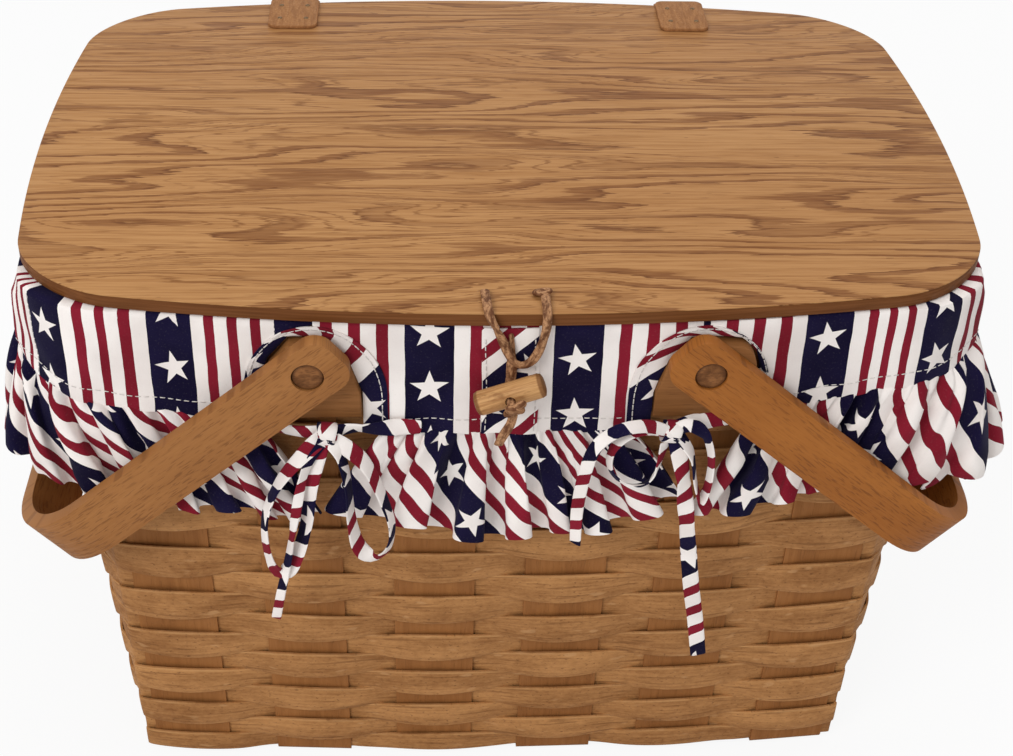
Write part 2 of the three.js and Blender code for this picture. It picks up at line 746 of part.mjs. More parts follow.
function lidShape() {
  const a = LID_LENGTH / 2 - LID_CORNER_RADIUS;
  const b = LID_WIDTH / 2 - LID_CORNER_RADIUS;
  const corners = [[1, -1], [1, 1], [-1, 1], [-1, -1]];
  const points = [];
  corners.forEach(([sx, sy], i) => {
    const start = (i - 1) * (Math.PI / 2);
    for (let step = 0; step <= 6; step += 1) {
      const turn = start + (step / 6) * (Math.PI / 2);
      const x = sx * a + LID_CORNER_RADIUS * Math.cos(turn);
      const y = sy * b + LID_CORNER_RADIUS * Math.sin(turn);
      points.push(bowed(x, y));
    }
    const [nx, ny] = corners[(i + 1) % 4];
    const turn = start + Math.PI / 2;
    const edge = new THREE.Vector2(Math.cos(turn), Math.sin(turn)).multiplyScalar(LID_CORNER_RADIUS);
    const steps = i % 2 === 0 ? 6 : 8;
    for (let step = 1; step < steps; step += 1) {
      const share = step / steps;
      const x = THREE.MathUtils.lerp(sx * a, nx * a, share) + edge.x;
      const y = THREE.MathUtils.lerp(sy * b, ny * b, share) + edge.y;
      points.push(bowed(x, y));
    }
  });
  return new THREE.Shape(points);
}

function lidSlab(low, high) {
  const slab = new THREE.ExtrudeGeometry(lidShape(), { depth: high - low, bevelEnabled: false });
  slab.translate(0, 0, low);
  return slab;
}

function lidEdgeY(x) {
  return bowed(x, LID_WIDTH / 2).y;
}

function addLid() {
  const veneerBottom = LID_TOP - LID_VENEER;
  addPiece('lid_board', lidSlab(LID_TOP - LID_THICKNESS, veneerBottom), LID_CORE_WOOD);
  addPiece('lid_veneer', lidSlab(veneerBottom, LID_TOP), LID_WOOD);
}

// Leather hinge straps: one leaf nailed on the lid, and one that turns down
// behind the lid and in again to lie on the rim

// Turns an outline in y and z into a block between two x values
function blockAlongX(points, xFrom, xTo) {
  const shape = new THREE.Shape(points.map(([y, z]) => new THREE.Vector2(y, z)));
  const geometry = new THREE.ExtrudeGeometry(shape, { depth: xTo - xFrom, bevelEnabled: false });
  const axes = [[0, 1, 0], [0, 0, 1], [1, 0, 0]].map((axis) => new THREE.Vector3(...axis));
  geometry.applyMatrix4(new THREE.Matrix4().makeBasis(...axes));
  geometry.translate(xFrom, 0, 0);
  return geometry;
}

function addHinges() {
  const frontEdge = LID_WIDTH / 2 - STRAP_LENGTH_ON_LID;
  const leafTop = LID_TOP + STRAP_THICKNESS;
  const backEdge = HINGE_Y - CLEARANCE;
  const throat = HINGE_Y - STRAP_THICKNESS / 2;
  const back = throat + STRAP_THICKNESS;
  const seat = RIM_HEIGHT + CLEARANCE;
  const tabTop = seat + STRAP_THICKNESS;
  const tabEnd = back - STRAP_LENGTH_ON_RIM;
  const neckTop = LID_TOP - CLEARANCE;
  const lidLeaf = [
    [frontEdge, LID_TOP],
    [backEdge, LID_TOP],
    [backEdge, leafTop],
    [frontEdge, leafTop],
  ];
  const basketLeaf = [
    [tabEnd, seat],
    [back, seat],
    [back, neckTop],
    [throat, neckTop],
    [throat, tabTop],
    [tabEnd, tabTop],
  ];
  for (const [name, centre] of [['left', -STRAP_SPACING / 2], ['right', STRAP_SPACING / 2]]) {
    const from = centre - STRAP_WIDTH / 2;
    const to = centre + STRAP_WIDTH / 2;
    addPiece(`hinge_leaf_lid_${name}`, blockAlongX(lidLeaf, from, to), LEATHER);
    addPiece(`hinge_leaf_basket_${name}`, blockAlongX(basketLeaf, from, to), LEATHER);
  }
}

// Cloth liner

const LINER_OUT = -(BAND_IN + LINER_EASE);
const LINER_IN = LINER_OUT - CLOTH;
const LIP_OUT = BAND_OUT + LIP_OVERHANG;
const LINER_FLOOR = BASE_LEVEL + BASE_LIFT + UPRIGHT_OUT + CLEARANCE;

function addLinerBag() {
  const ring = (z, out) => stations.map((station) => wallPoint(station, z, out));
  const waist = (LINER_FLOOR + BAND_BOTTOM) / 2;
  const rings = [
    ring(LINER_FLOOR, LINER_OUT),
    ring(waist, LINER_OUT),
    ring(BAND_BOTTOM, LINER_OUT),
    ring(LIP_BOTTOM, LINER_OUT),
    ring(LIP_BOTTOM, LIP_OUT),
    ring(LIP_TOP, LIP_OUT),
    ring(LIP_TOP, LINER_IN),
    ring(waist, LINER_IN),
    ring(LINER_FLOOR + CLOTH, LINER_IN),
  ];
  addPiece('liner_bag', cut(stackRings(rings), ...hingeNotches()), LINER_CLOTH);
}

// Half width of the arch that the skirt leaves round an ear, at a height
function archHalf(z) {
  if (z <= ARCH_SPRING) return ARCH_HALF_WIDTH;
  const share = (z - ARCH_SPRING) / ARCH_RISE;
  return Math.max(ARCH_HALF_WIDTH * Math.sqrt(1 - share ** 2), ARCH_TOP_HALF_WIDTH);
}

// Ends of a cloth panel at a height, counted in stations
function panelEnds(panel, z) {
  const gap = archHalf(z);
  const count = stations.length;
  const at = (side, x) => positionAtX(side, x);
  if (panel === 'front') return [at(0, gap - earX), at(0, earX - gap)];
  if (panel === 'back') return [at(2, earX - gap), at(2, gap - earX)];
  if (panel === 'right') return [at(0, earX + gap), at(2, earX + gap)];
  return [at(2, -earX - gap), at(0, -earX - gap) + count];
}

const SKIRT_INNER = BAND_OUT + SKIRT_EASE;
const SKIRT_FACE = RIM_WIDTH / 2 + SKIRT_INNER + CLOTH;
const THONG_Y = SKIRT_FACE + THONG_EASE + THONG_THICKNESS / 2;

// How far the skirt's inner face stands out at a height
function skirtOut(z) {
  const share = (LIP_TOP - z) / (LIP_TOP - SKIRT_BOTTOM);
  return SKIRT_INNER + SKIRT_FLARE * share ** 2;
}

// Bites out of lip and skirts, from behind each ear to beyond the hinge strap
function hingeNotches() {
  const from = Math.min(earX, STRAP_SPACING / 2 - STRAP_WIDTH / 2 - HINGE_NOTCH_EASE);
  const to = STRAP_SPACING / 2 + STRAP_WIDTH / 2 + HINGE_NOTCH_EASE;
  const depth = STRAP_LENGTH_ON_RIM + 2 * HINGE_NOTCH_EASE;
  const back = HINGE_Y + STRAP_THICKNESS / 2;
  const middle = back - STRAP_LENGTH_ON_RIM / 2;
  const height = 2 * (LIP_TOP - RIM_HEIGHT);
  return [-1, 1].map((way) => {
    const notch = new THREE.BoxGeometry(to - from, depth, height);
    notch.translate((way * (from + to)) / 2, middle, RIM_HEIGHT + height / 2);
    return notch;
  });
}

// A skirt's columns stand on the stations, with a few more by each arch
function addSkirts() {
  const rise = (share) => ARCH_SPRING + ARCH_RISE * share;
  const levels = [SKIRT_BOTTOM, ARCH_SPRING, rise(0.45), rise(0.74), LIP_TOP];
  for (const panel of ['front', 'right', 'back', 'left']) {
    const [bottomFrom, bottomTo] = panelEnds(panel, SKIRT_BOTTOM);
    const first = Math.ceil(bottomFrom);
    const last = Math.floor(bottomTo);
    const columns = [];
    for (let i = 0; i < ARCH_STEPS; i += 1) {
      columns.push((ends) => THREE.MathUtils.lerp(ends[0], first, i / ARCH_STEPS));
    }
    for (let i = first; i <= last; i += 1) columns.push(() => i);
    for (let i = 1; i <= ARCH_STEPS; i += 1) {
      columns.push((ends) => THREE.MathUtils.lerp(last, ends[1], i / ARCH_STEPS));
    }
    const rings = columns.map((column) => {
      const face = (extra) =>
        levels.map((z) => {
          const station = stationAt(column(panelEnds(panel, z)));
          return wallPoint(station, z, skirtOut(z) + extra);
        });
      return [...face(0), ...face(CLOTH).reverse()];
    });
    let skirt = loft(rings, false);
    if (panel === 'left' || panel === 'right') skirt = cut(skirt, ...hingeNotches());
    addPiece(`skirt_${panel}`, skirt, SKIRT_CLOTH);
  }
}

function addRuffles() {
  const top = SKIRT_BOTTOM - CLEARANCE;
  const levels = [top, (top + RUFFLE_BOTTOM) / 2, RUFFLE_BOTTOM];
  for (const panel of ['front', 'right', 'back', 'left']) {
    const long = panel === 'front' || panel === 'back';
    const folds = long ? FRONT_FOLDS : END_FOLDS;
    const flare = long ? FRONT_RUFFLE_FLARE : END_RUFFLE_FLARE;
    const depth = long ? FRONT_FOLD : END_FOLD;
    const steps = folds * FOLD_STEPS;
    const [from, to] = panelEnds(panel, SKIRT_BOTTOM);
    const rings = [];
    for (let i = 0; i <= steps; i += 1) {
      const station = stationAt(from + ((to - from) * i) / steps);
      const wave = Math.sin((i / FOLD_STEPS) * 2 * Math.PI);
      const face = (extra) =>
        levels.map((z) => {
          const share = (top - z) / (top - RUFFLE_BOTTOM);
          const mean = THREE.MathUtils.lerp(skirtOut(SKIRT_BOTTOM), flare, share);
          const out = mean + wave * (RUFFLE_GATHER * (1 - share) + depth * share);
          return wallPoint(station, z, out + extra);
        });
      rings.push([...face(0), ...face(CLOTH).reverse()]);
    }
    addPiece(`ruffle_${panel}`, loft(rings, false), RUFFLE_CLOTH);
  }
}

// Tie bows: a knot with two loops and two tails of flat tape

// Flat tape along a route, with its wide face to the front
function tape(points) {
  const curve = new THREE.CatmullRomCurve3(points);
  const steps = points.length * TAPE_STEPS;
  const rings = [];
  for (let i = 0; i <= steps; i += 1) {
    const at = curve.getPointAt(i / steps);
    const way = curve.getTangentAt(i / steps);
    const flat = new THREE.Vector3(0, 1, 0);
    const across = new THREE.Vector3().crossVectors(way, flat).normalize();
    const thick = new THREE.Vector3().crossVectors(across, way).normalize();
    const corner = (a, t) =>
      at
        .clone()
        .addScaledVector(across, (a * TIE_WIDTH) / 2)
        .addScaledVector(thick, (t * TIE_THICKNESS) / 2);
    rings.push([corner(-1, 1), corner(1, 1), corner(1, -1), corner(-1, -1)]);
  }
  return loft(rings, false);
}

// Points of a bow are given across from its ear's middle, forward of the ear's
// face and down from the rim. Its first two runs are the strands that come from
// the arch's edges.
const BOWS = {
  tie_bow_left: {
    side: -1,
    knot: [6.5, 4.3, 61.5],
    runs: [
      [[8.5, 3.3, 61.5], [24.5, 0.4, 60.5], [38.5, -0.9, 59.5], [47.5, -1, 59.5]],
      [[4.5, 3.3, 61.5], [-9.5, -0.8, 61], [-23.5, -3.6, 60], [-34.5, -4.7, 59.5],
        [-44.5, -5.9, 59.5]],
      [[5.5, 5.8, 62.5], [-7.5, 7.8, 72.5], [-15.5, 6.8, 97.5], [-10.5, 6.8, 121.5], [-1.5, 6.8, 117.5],
        [2.5, 7.8, 91.5], [6.5, 6.8, 65.5]],
      [[7.5, 5.8, 62.5], [20.5, 7.8, 77.5], [31.5, 10.8, 105.5], [39.5, 13.8, 120.5], [45.5, 13.8, 109.5],
        [36.5, 11.8, 84.5], [10.5, 6.8, 61.5]],
      [[5.5, 6.8, 63.5], [-3.5, 10.8, 93.5], [-8.5, 9.8, 125.5], [-11.5, 7.8, 147.5], [-13.5, 5.8, 165.5]],
    ],
  },
  tie_bow_right: {
    side: 1,
    knot: [-20.5, 4.3, 60.5],
    runs: [
      [[-22.5, 3.3, 60.5], [-30.5, 0.8, 60], [-38.5, -0.9, 59.5], [-47.5, -1, 59.5]],
      [[-18.5, 3.3, 60.5], [-0.5, 0.2, 60.5], [13.5, -1.9, 60], [28.5, -4, 59.5],
        [44.5, -5.9, 59.5]],
      [[-22.5, 5.8, 59.5], [-36.5, 10.8, 54.5], [-50.5, 11.8, 63.5], [-54.5, 10.8, 81.5], [-45.5, 10.3, 93.5],
        [-30.5, 8.8, 82.5], [-21.5, 6.8, 63.5]],
      [[-19.5, 5.8, 59.5], [-6.5, 7.8, 58.5], [3.5, 7.8, 75.5], [1.5, 6.8, 95.5], [-7.5, 6.8, 91.5],
        [-16.5, 6.8, 67.5]],
      [[-21.5, 6.8, 62.5], [-40.5, 11.8, 81.5], [-58.5, 14.3, 111.5], [-68.5, 15.3, 135.5]],
      [[-18.5, 7.8, 63.5], [-13.5, 10.8, 97.5], [-8.5, 10.8, 139.5], [-5.5, 8.8, 175.5], [-4.5, 7.8, 193.5]],
    ],
  },
};

function addTies() {
  for (const [name, { side, knot, runs }] of Object.entries(BOWS)) {
    const place = ([across, forward, down]) =>
      new THREE.Vector3(side * earX + across, -EAR_FRONT - forward, RIM_HEIGHT - down);
    const lump = new THREE.SphereGeometry(KNOT_SIZE / 2, 10, 7);
    lump.translate(...place(knot).toArray());
    const tapes = runs.map((run) => tape(run.map(place)));
    addPiece(name, join(lump, ...tapes), TIE_CLOTH);
  }
}

// Toggle closure

function addToggle() {
  const radius = TOGGLE_DIAMETER / 2;
  const half = TOGGLE_LENGTH / 2;
  const profile = [
    [0, -half],
    [radius * 0.72, -half + 1],
    [radius * 0.95, -half + 4],
    [radius, -half / 3],
    [radius, half / 3],
    [radius * 0.95, half - 4],
    [radius * 0.72, half - 1],
    [0, half],
  ].map(([r, h]) => new THREE.Vector2(r, h));
  const body = new THREE.LatheGeometry(profile, 16);
  body.rotateZ(Math.PI / 2);
  body.rotateY(THREE.MathUtils.degToRad(-TOGGLE_TILT));
  body.translate(0, -TOGGLE_Y, TOGGLE_HEIGHT);
  const hole = rodAlongY(TOGGLE_HOLE / 2, -TOGGLE_Y - radius - 1, radius + 1 - TOGGLE_Y, 0, TOGGLE_HEIGHT, 12);
  addPiece('toggle', cut(body, hole), TOGGLE_WOOD);
}

// The thong comes down behind the toggle, goes through it and ends in a knot
function addThong() {
  const radius = TOGGLE_DIAMETER / 2;
  const halfWidth = THONG_WIDTH / 2;
  const strip = new THREE.BoxGeometry(THONG_WIDTH, THONG_THICKNESS, THONG_TOP - TOGGLE_HEIGHT + halfWidth);
  strip.translate(0, -THONG_Y, (THONG_TOP + TOGGLE_HEIGHT - halfWidth) / 2);
  const neckRadius = TOGGLE_HOLE / 2 - CLEARANCE;
  const knotRadius = THONG_KNOT / 2;
  const knotY = -TOGGLE_Y - radius - CLEARANCE - THONG_KNOT_DEPTH / 2;
  const neck = rodAlongY(neckRadius, knotY, -THONG_Y, 0, TOGGLE_HEIGHT, 8);
  const knot = new THREE.SphereGeometry(knotRadius, 12, 6);
  knot.scale(1, THONG_KNOT_DEPTH / THONG_KNOT, 1);
  knot.translate(0, knotY, TOGGLE_HEIGHT - 1);
  const tail = new THREE.BoxGeometry(THONG_TAIL_WIDTH, THONG_TAIL_THICKNESS, THONG_TAIL_DROP);
  tail.translate(0, 0, -THONG_TAIL_DROP / 2);
  tail.rotateY(THREE.MathUtils.degToRad(THONG_TAIL_SLANT));
  tail.translate(0, knotY, TOGGLE_HEIGHT - neckRadius);
  addPiece('toggle_thong', join(strip, neck, knot, tail), LEATHER);
}

// The lid's loop: two strands from their holes over the front edge, and a bend
function addLidLoop() {
  const top = LID_TOP + CLEARANCE + LOOP_THICKNESS / 2;
  const edge = LOOP_Y;
  const side = LOOP_HALF_SPAN;
  const route = [
    [-side, LOOP_HOLE_Y, top],
    [-side, edge, top],
    [-side, edge, LOOP_BOTTOM + 10],
    [-side * 0.55, edge, LOOP_BOTTOM + 2],
    [side * 0.1, edge, LOOP_BOTTOM],
    [side * 0.7, edge, LOOP_BOTTOM + 3],
    [side, edge, LOOP_BOTTOM + 12],
    [side, edge, top],
    [side, LOOP_HOLE_Y, top],
  ];
  const points = route.map(([x, y, z]) => new THREE.Vector3(x + LOOP_CENTRE_X, -y, z));
  const rings = points.map((here, i) => {
    const before = points[Math.max(i - 1, 0)];
    const after = points[Math.min(i + 1, points.length - 1)];
    const first = i > 0 ? here.clone().sub(before).normalize() : after.clone().sub(here).normalize();
    const second = i < points.length - 1 ? after.clone().sub(here).normalize() : first;
    const overEdge = Math.abs(first.y) > 0.5 || Math.abs(second.y) > 0.5;
    const across = overEdge
      ? new THREE.Vector3(i < points.length / 2 ? 1 : -1, 0, 0)
      : new THREE.Vector3(0, -1, 0).cross(first.clone().add(second)).normalize();
    const thick = first.clone().add(second).cross(across).normalize();
    const stretch = 1 / Math.max(Math.abs(thick.dot(first.clone().cross(across).normalize())), 0.5);
    const corner = (a, t) =>
      here
        .clone()
        .addScaledVector(across, (a * LOOP_WIDTH) / 2)
        .addScaledVector(thick, (t * LOOP_THICKNESS * stretch) / 2);
    return [corner(-1, 1), corner(1, 1), corner(1, -1), corner(-1, -1)];
  });
  addPiece('lid_loop', loft(rings, false), LEATHER);
}

addStraps();
addWeavers();
addBands();
addEars();
addHandles();
addLid();
addHinges();
addLinerBag();
addSkirts();
addRuffles();
addTies();
addToggle();
addThong();
addLidLoop();

export default basket;
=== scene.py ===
import math

import bpy
import numpy as np
from mathutils import Matrix, Vector


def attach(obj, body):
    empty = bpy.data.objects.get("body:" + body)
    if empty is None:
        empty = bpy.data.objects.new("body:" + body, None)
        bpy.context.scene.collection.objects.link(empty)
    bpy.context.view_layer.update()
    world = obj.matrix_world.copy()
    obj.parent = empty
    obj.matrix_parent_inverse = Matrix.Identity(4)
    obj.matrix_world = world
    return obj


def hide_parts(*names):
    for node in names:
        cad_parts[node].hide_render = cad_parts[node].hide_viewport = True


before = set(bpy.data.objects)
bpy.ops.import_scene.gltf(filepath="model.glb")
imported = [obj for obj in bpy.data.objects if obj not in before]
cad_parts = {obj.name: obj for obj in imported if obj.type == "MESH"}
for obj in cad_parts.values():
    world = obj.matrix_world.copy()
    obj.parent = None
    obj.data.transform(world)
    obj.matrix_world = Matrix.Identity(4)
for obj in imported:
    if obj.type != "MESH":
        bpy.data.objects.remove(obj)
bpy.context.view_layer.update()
MM = 0.001
RIM_HEIGHT, LIP_TOP, CORE_TOP, LID_TOP, BAND_BOTTOM = 329.5, 331.2, 339.2, 340.0, 282.0
EAR_X, EAR_FACE, PIVOT_Z, HINGE_X = 96.5, 173.2, 309.3, 121.0
ENDS = (("left", -1), ("right", 1))

# %% [markdown]
# The camera stands a little left of the middle, 0.8 m in front of the basket
# and as far above the floor, and looks down at 37 degrees. A slight roll is
# that of a picture taken by hand.
# %% Camera
CAMERA_PLACE = (-0.0419, -0.8057, 0.7867)
PHOTO_WIDTH, FOCAL_LENGTH = 1013, 1650  # in pixels of the photo
turn, tilt, roll = (math.radians(v) for v in (-3.66, 37.38, 2.05))
forward = Vector((-math.sin(turn) * math.cos(tilt), math.cos(turn) * math.cos(tilt), -math.sin(tilt)))
right = Vector((math.cos(turn), math.sin(turn), 0))
up = right.cross(forward)
side = right * math.cos(roll) + up * math.sin(roll)
top = up * math.cos(roll) - right * math.sin(roll)
camera = bpy.data.objects.new("camera", bpy.data.cameras.new("camera"))
rows = [(side[i], top[i], -forward[i], CAMERA_PLACE[i]) for i in range(3)]
camera.matrix_world = Matrix(rows + [(0, 0, 0, 1)])
camera.data.sensor_width = 36
camera.data.lens = 36 * FOCAL_LENGTH / PHOTO_WIDTH
bpy.context.collection.objects.link(camera)
bpy.context.scene.camera = camera
print("camera lens", round(camera.data.lens, 2), "mm")

# %% [markdown]
# Shader maths reads best as plain sums, so one small class wraps a socket and
# turns Python's operators into Math nodes. A second one holds a material with
# its Principled shader, and adds any other node in one call.
# %% Materials as expressions
def tint(r, g, b):
    """A colour of a picture, 0 to 255, as the linear values that a shader takes."""
    parts = [c / 255 for c in (r, g, b)]
    return tuple(c / 12.92 if c <= 0.04045 else ((c + 0.055) / 1.055) ** 2.4 for c in parts) + (1.0,)


class Wire:
    """A socket, on which plain Python operators add Math nodes."""

    def __init__(self, finish, socket):
        self.finish, self.socket = finish, socket

    def maths(self, operation, *others, first=None):
        values = [self if first is None else first, *others]
        return self.finish.node("Math", {"operation": operation}, dict(enumerate(values)))

    def __add__(self, other): return self.maths("ADD", other)
    def __radd__(self, other): return self.maths("ADD", other)
    def __sub__(self, other): return self.maths("SUBTRACT", other)
    def __rsub__(self, other): return self.maths("SUBTRACT", self, first=other)
    def __mul__(self, other): return self.maths("MULTIPLY", other)
    def __rmul__(self, other): return self.maths("MULTIPLY", other)
    def __truediv__(self, other): return self.maths("DIVIDE", other)
    def __rtruediv__(self, other): return self.maths("DIVIDE", self, first=other)
    def __lt__(self, other): return self.maths("LESS_THAN", other)
    def __gt__(self, other): return self.maths("GREATER_THAN", other)
    def __abs__(self): return self.maths("ABSOLUTE")
    def __neg__(self): return self.maths("MULTIPLY", -1.0)

    def floor(self): return self.maths("FLOOR")
    def fract(self): return self.maths("FRACT")

    def smooth(self, low, high, to_low=0.0, to_high=1.0):
        """A soft step from to_low to to_high as the value goes from low to high."""
        values = {"Value": self, "From Min": low, "From Max": high, "To Min": to_low, "To Max": to_high}
        return self.finish.node("MapRange", {"interpolation_type": "SMOOTHSTEP"}, values)

    def split(self):
        parts = self.finish.node("SeparateXYZ", None, {0: self})
        return [Wire(self.finish, parts.socket.node.outputs[i]) for i in range(3)]

    def noise(self, stretch, detail=2.0, roughness=0.5, at=(0, 0, 0)):
        """Noise over these coordinates, which are stretched by one number or by three."""
        vector, scale = self, stretch
        if isinstance(stretch, tuple):
            scale = 1.0
            vector = self.finish.node("Mapping", None, {"Vector": self, "Scale": stretch, "Location": at})
        return self.finish.node("TexNoise", None, {
            "Vector": vector, "Scale": scale, "Detail": detail, "Roughness": roughness})

    def bump(self, strength, distance):
        return self.finish.node("Bump", None, {"Height": self, "Strength": strength, "Distance": distance})


class Finish:
    """A material: its Principled shader, and a way to add nodes."""

    def __init__(self, name, **constants):
        self.material = bpy.data.materials.new(name)
        self.material.use_nodes = True
        self.tree = self.material.node_tree
        self.shader = self.tree.nodes["Principled BSDF"]
        for socket, value in constants.items():
            self.shader.inputs[socket.replace("_", " ")].default_value = value

    def node(self, kind, settings=None, values=None, output=0):
        made = self.tree.nodes.new("ShaderNode" + kind)
        for setting, value in (settings or {}).items():
            setattr(made, setting, value)
        for socket, value in (values or {}).items():
            self.join(value, made.inputs[socket])
        return Wire(self, made.outputs[output])

    def join(self, value, socket):
        if isinstance(value, Wire):
            self.tree.links.new(value.socket, socket)
        else:
            socket.default_value = value

    def cloth_map(self):
        """The piece's own flat map, in metres along and across it."""
        return self.node("UVMap", {"uv_map": "UVMap"})

    def place(self):
        """Object coordinates, in metres in the basket's frame."""
        return self.node("TexCoord", output="Object")

    def mix(self, share, first, second):
        """Two colours in shares. A colour is a value, or three numbers from 0 to 255."""
        first, second = (c if isinstance(c, Wire) else tint(*c) for c in (first, second))
        return self.node("Mix", {"data_type": "RGBA"}, {0: share, 6: first, 7: second}, output=2)

    def wear(self, base, rough, normal=None):
        """Joins the three things that vary to the shader, and gives the finished material."""
        for socket, value in (("Base Color", base), ("Roughness", rough), ("Normal", normal)):
            if value is not None:
                self.join(value, self.shader.inputs[socket])
        return self.material


print("shader helpers ready")

# %% [markdown]
# The floor is a wide white sheet, and the world is white where the camera or a
# gloss sees it. To everything else the world is a dim even sky, and two large
# soft lamps stand for a window and a pale ceiling. To the camera the sheet is
# nine tenths paper white, so that the basket's shadow on it stays faint.
# %% Floor, world and lamps
WHITENESS = 0.9  # the share of the floor that the camera sees as plain white
SKY = 0.56  # the strength of the even light from all round
scene = bpy.context.scene
scene.view_settings.view_transform = "Standard"
bpy.ops.mesh.primitive_plane_add(size=8, location=(0, 0, -0.0006))
floor = bpy.context.object
floor.name = "floor"
bpy.ops.object.transform_apply(location=True, rotation=False, scale=False)
paper = Finish("studio_paper", Base_Color=(0.84, 0.84, 0.84, 1), Roughness=1.0, Specular_IOR_Level=0.0)
plain_white = paper.node("LightPath", output="Is Camera Ray") * WHITENESS
surface = {0: plain_white, 1: Wire(paper, paper.shader.outputs[0]), 2: paper.node("Emission")}
paper.join(paper.node("MixShader", None, surface), paper.tree.nodes["Material Output"].inputs["Surface"])
floor.data.materials.append(paper.material)

world = bpy.data.worlds.new("studio")
world.use_nodes = True
scene.world = world
sky, ray = world.node_tree.nodes, world.node_tree.links
seen = sky.new("ShaderNodeLightPath")
white_for = seen.outputs["Is Camera Ray"]
for kind in ("Is Glossy Ray", "Is Transmission Ray"):
    either = sky.new("ShaderNodeMath")
    either.operation = "MAXIMUM"
    ray.new(white_for, either.inputs[0])
    ray.new(seen.outputs[kind], either.inputs[1])
    white_for = either.outputs[0]
level = sky.new("ShaderNodeMapRange")
level.inputs["To Min"].default_value = SKY
level.inputs["To Max"].default_value = 1.0
ray.new(white_for, level.inputs["Value"])
ray.new(level.outputs[0], sky["Background"].inputs["Strength"])
sky["Background"].inputs["Color"].default_value = (1, 1, 1, 1)


def soft_lamp(name, place, size, power):
    data = bpy.data.lights.new(name, "AREA")
    data.size = size
    data.energy = power
    lamp = bpy.data.objects.new(name, data)
    lamp.location = place
    lamp.rotation_euler = (Vector((0, 0, 0.2)) - Vector(place)).to_track_quat("-Z", "Y").to_euler()
    bpy.context.collection.objects.link(lamp)


soft_lamp("window", (-1.4, -1.8, 2.1), 1.3, 34)
soft_lamp("ceiling", (0.5, 0.5, 2.6), 1.8, 14)
print("floor, world and two lamps")

# %% [markdown]
# Wood shows long fibres, a slow change of tone along the board and short dark
# pores. All three are the same noise, pulled long in the direction of the
# grain, so one function makes every plain wood of the basket. It is given the
# coordinates in which the grain runs along the first axis. The right handle's
# wood is darker than the left one's: painted shade, for the light that falls
# off towards the right of the basket.
# %% Plain woods
def splint_wood(name, along, tones, roughness, fibre=950, pores=0.5, fleck=(95, 1500), rare=0.60):
    """A wood whose grain runs along the first coordinate. Its tones are light, dark and pore."""
    light, dark, pore = tones
    wood = Finish(name, Specular_IOR_Level=0.18)
    grain = along(wood)
    tone = grain.noise((7, 42, 42), 3, 0.55)
    cloud = grain.noise((16, 16, 16), 2, 0.5)
    fibres = grain.noise((18, fibre, fibre), 3, 0.6)
    flecks = grain.noise((fleck[0], fleck[1], fleck[1]), 1, 0.4, (3.1, 7.7, 1.3))
    marks = flecks.smooth(rare, rare + 0.12) * tone.smooth(0.3, 0.55, 0.35, 1.0)
    shade = tone.smooth(0.34, 0.68) * 0.62 + fibres.smooth(0.3, 0.72) * 0.38
    plain = wood.mix(shade, light, dark)
    toned = wood.mix(cloud.smooth(0.35, 0.7, 0.0, 0.3), plain, dark)
    colour = wood.mix(marks * pores, toned, pore)
    height = fibres * 0.4 - marks * 0.7 + tone * 0.5
    rough = fibres.smooth(0.3, 0.7, roughness - 0.06, roughness + 0.1)
    return wood.wear(colour, rough, height.bump(0.35, 0.0004))


def by_map(wood):
    return wood.cloth_map()


def by_axis(order):
    """Object coordinates, with the axis along the grain put first."""
    def read(wood):
        parts = wood.place().split()
        picked = [parts["xyz".index(axis)] for axis in order]
        return wood.node("CombineXYZ", None, dict(enumerate(picked)))
    return read


SPLINT_TONES = ((162, 107, 58), (136, 86, 44), (94, 54, 22))
# the right handle's darker, redder tones are painted shade, for the light that falls off towards the right
HANDLE_TONES_RIGHT_SHADED = {"left": ((170, 115, 64), (148, 96, 50), (110, 66, 32)),
                "right": ((171, 106, 45), (148, 87, 34), (108, 60, 22))}
upright_across = splint_wood("upright_wood_crosswise", by_axis("zxy"), SPLINT_TONES, 0.66, 420, 0.25)
upright_along = splint_wood("upright_wood_lengthwise", by_axis("zyx"), SPLINT_TONES, 0.66, 420, 0.25)
rim_wood = splint_wood("rim_wood", by_axis("xyz"), ((150, 99, 52), (124, 77, 37), (86, 50, 20)), 0.6)
ear_wood = splint_wood("ear_wood", by_axis("xyz"), ((148, 98, 54), (120, 76, 38), (86, 50, 20)), 0.6, 700)
handle_woods = {end: splint_wood(f"handle_wood_{end}", by_map, tones, 0.56, 760, 0.55, (150, 1250), 0.55)
                for end, tones in HANDLE_TONES_RIGHT_SHADED.items()}
print("plain woods:", [m.name for m in bpy.data.materials if "wood" in m.name])

# %% [markdown]
# The weavers are thin ash splints, stained by hand. Stain gathers in clouds and
# specks, and no two rows took the same tone. Each row's upper edge is lighter:
# a painted highlight, where the edge catches the light. The rows' maps lie
# 37.3 mm apart with the upper edge of each at 20 mm, so a few sums on the map
# find a row's number and the distance to its edge.
# %% Stained splints
ROW_STEP, ROW_TOP = 37.3, 20.0


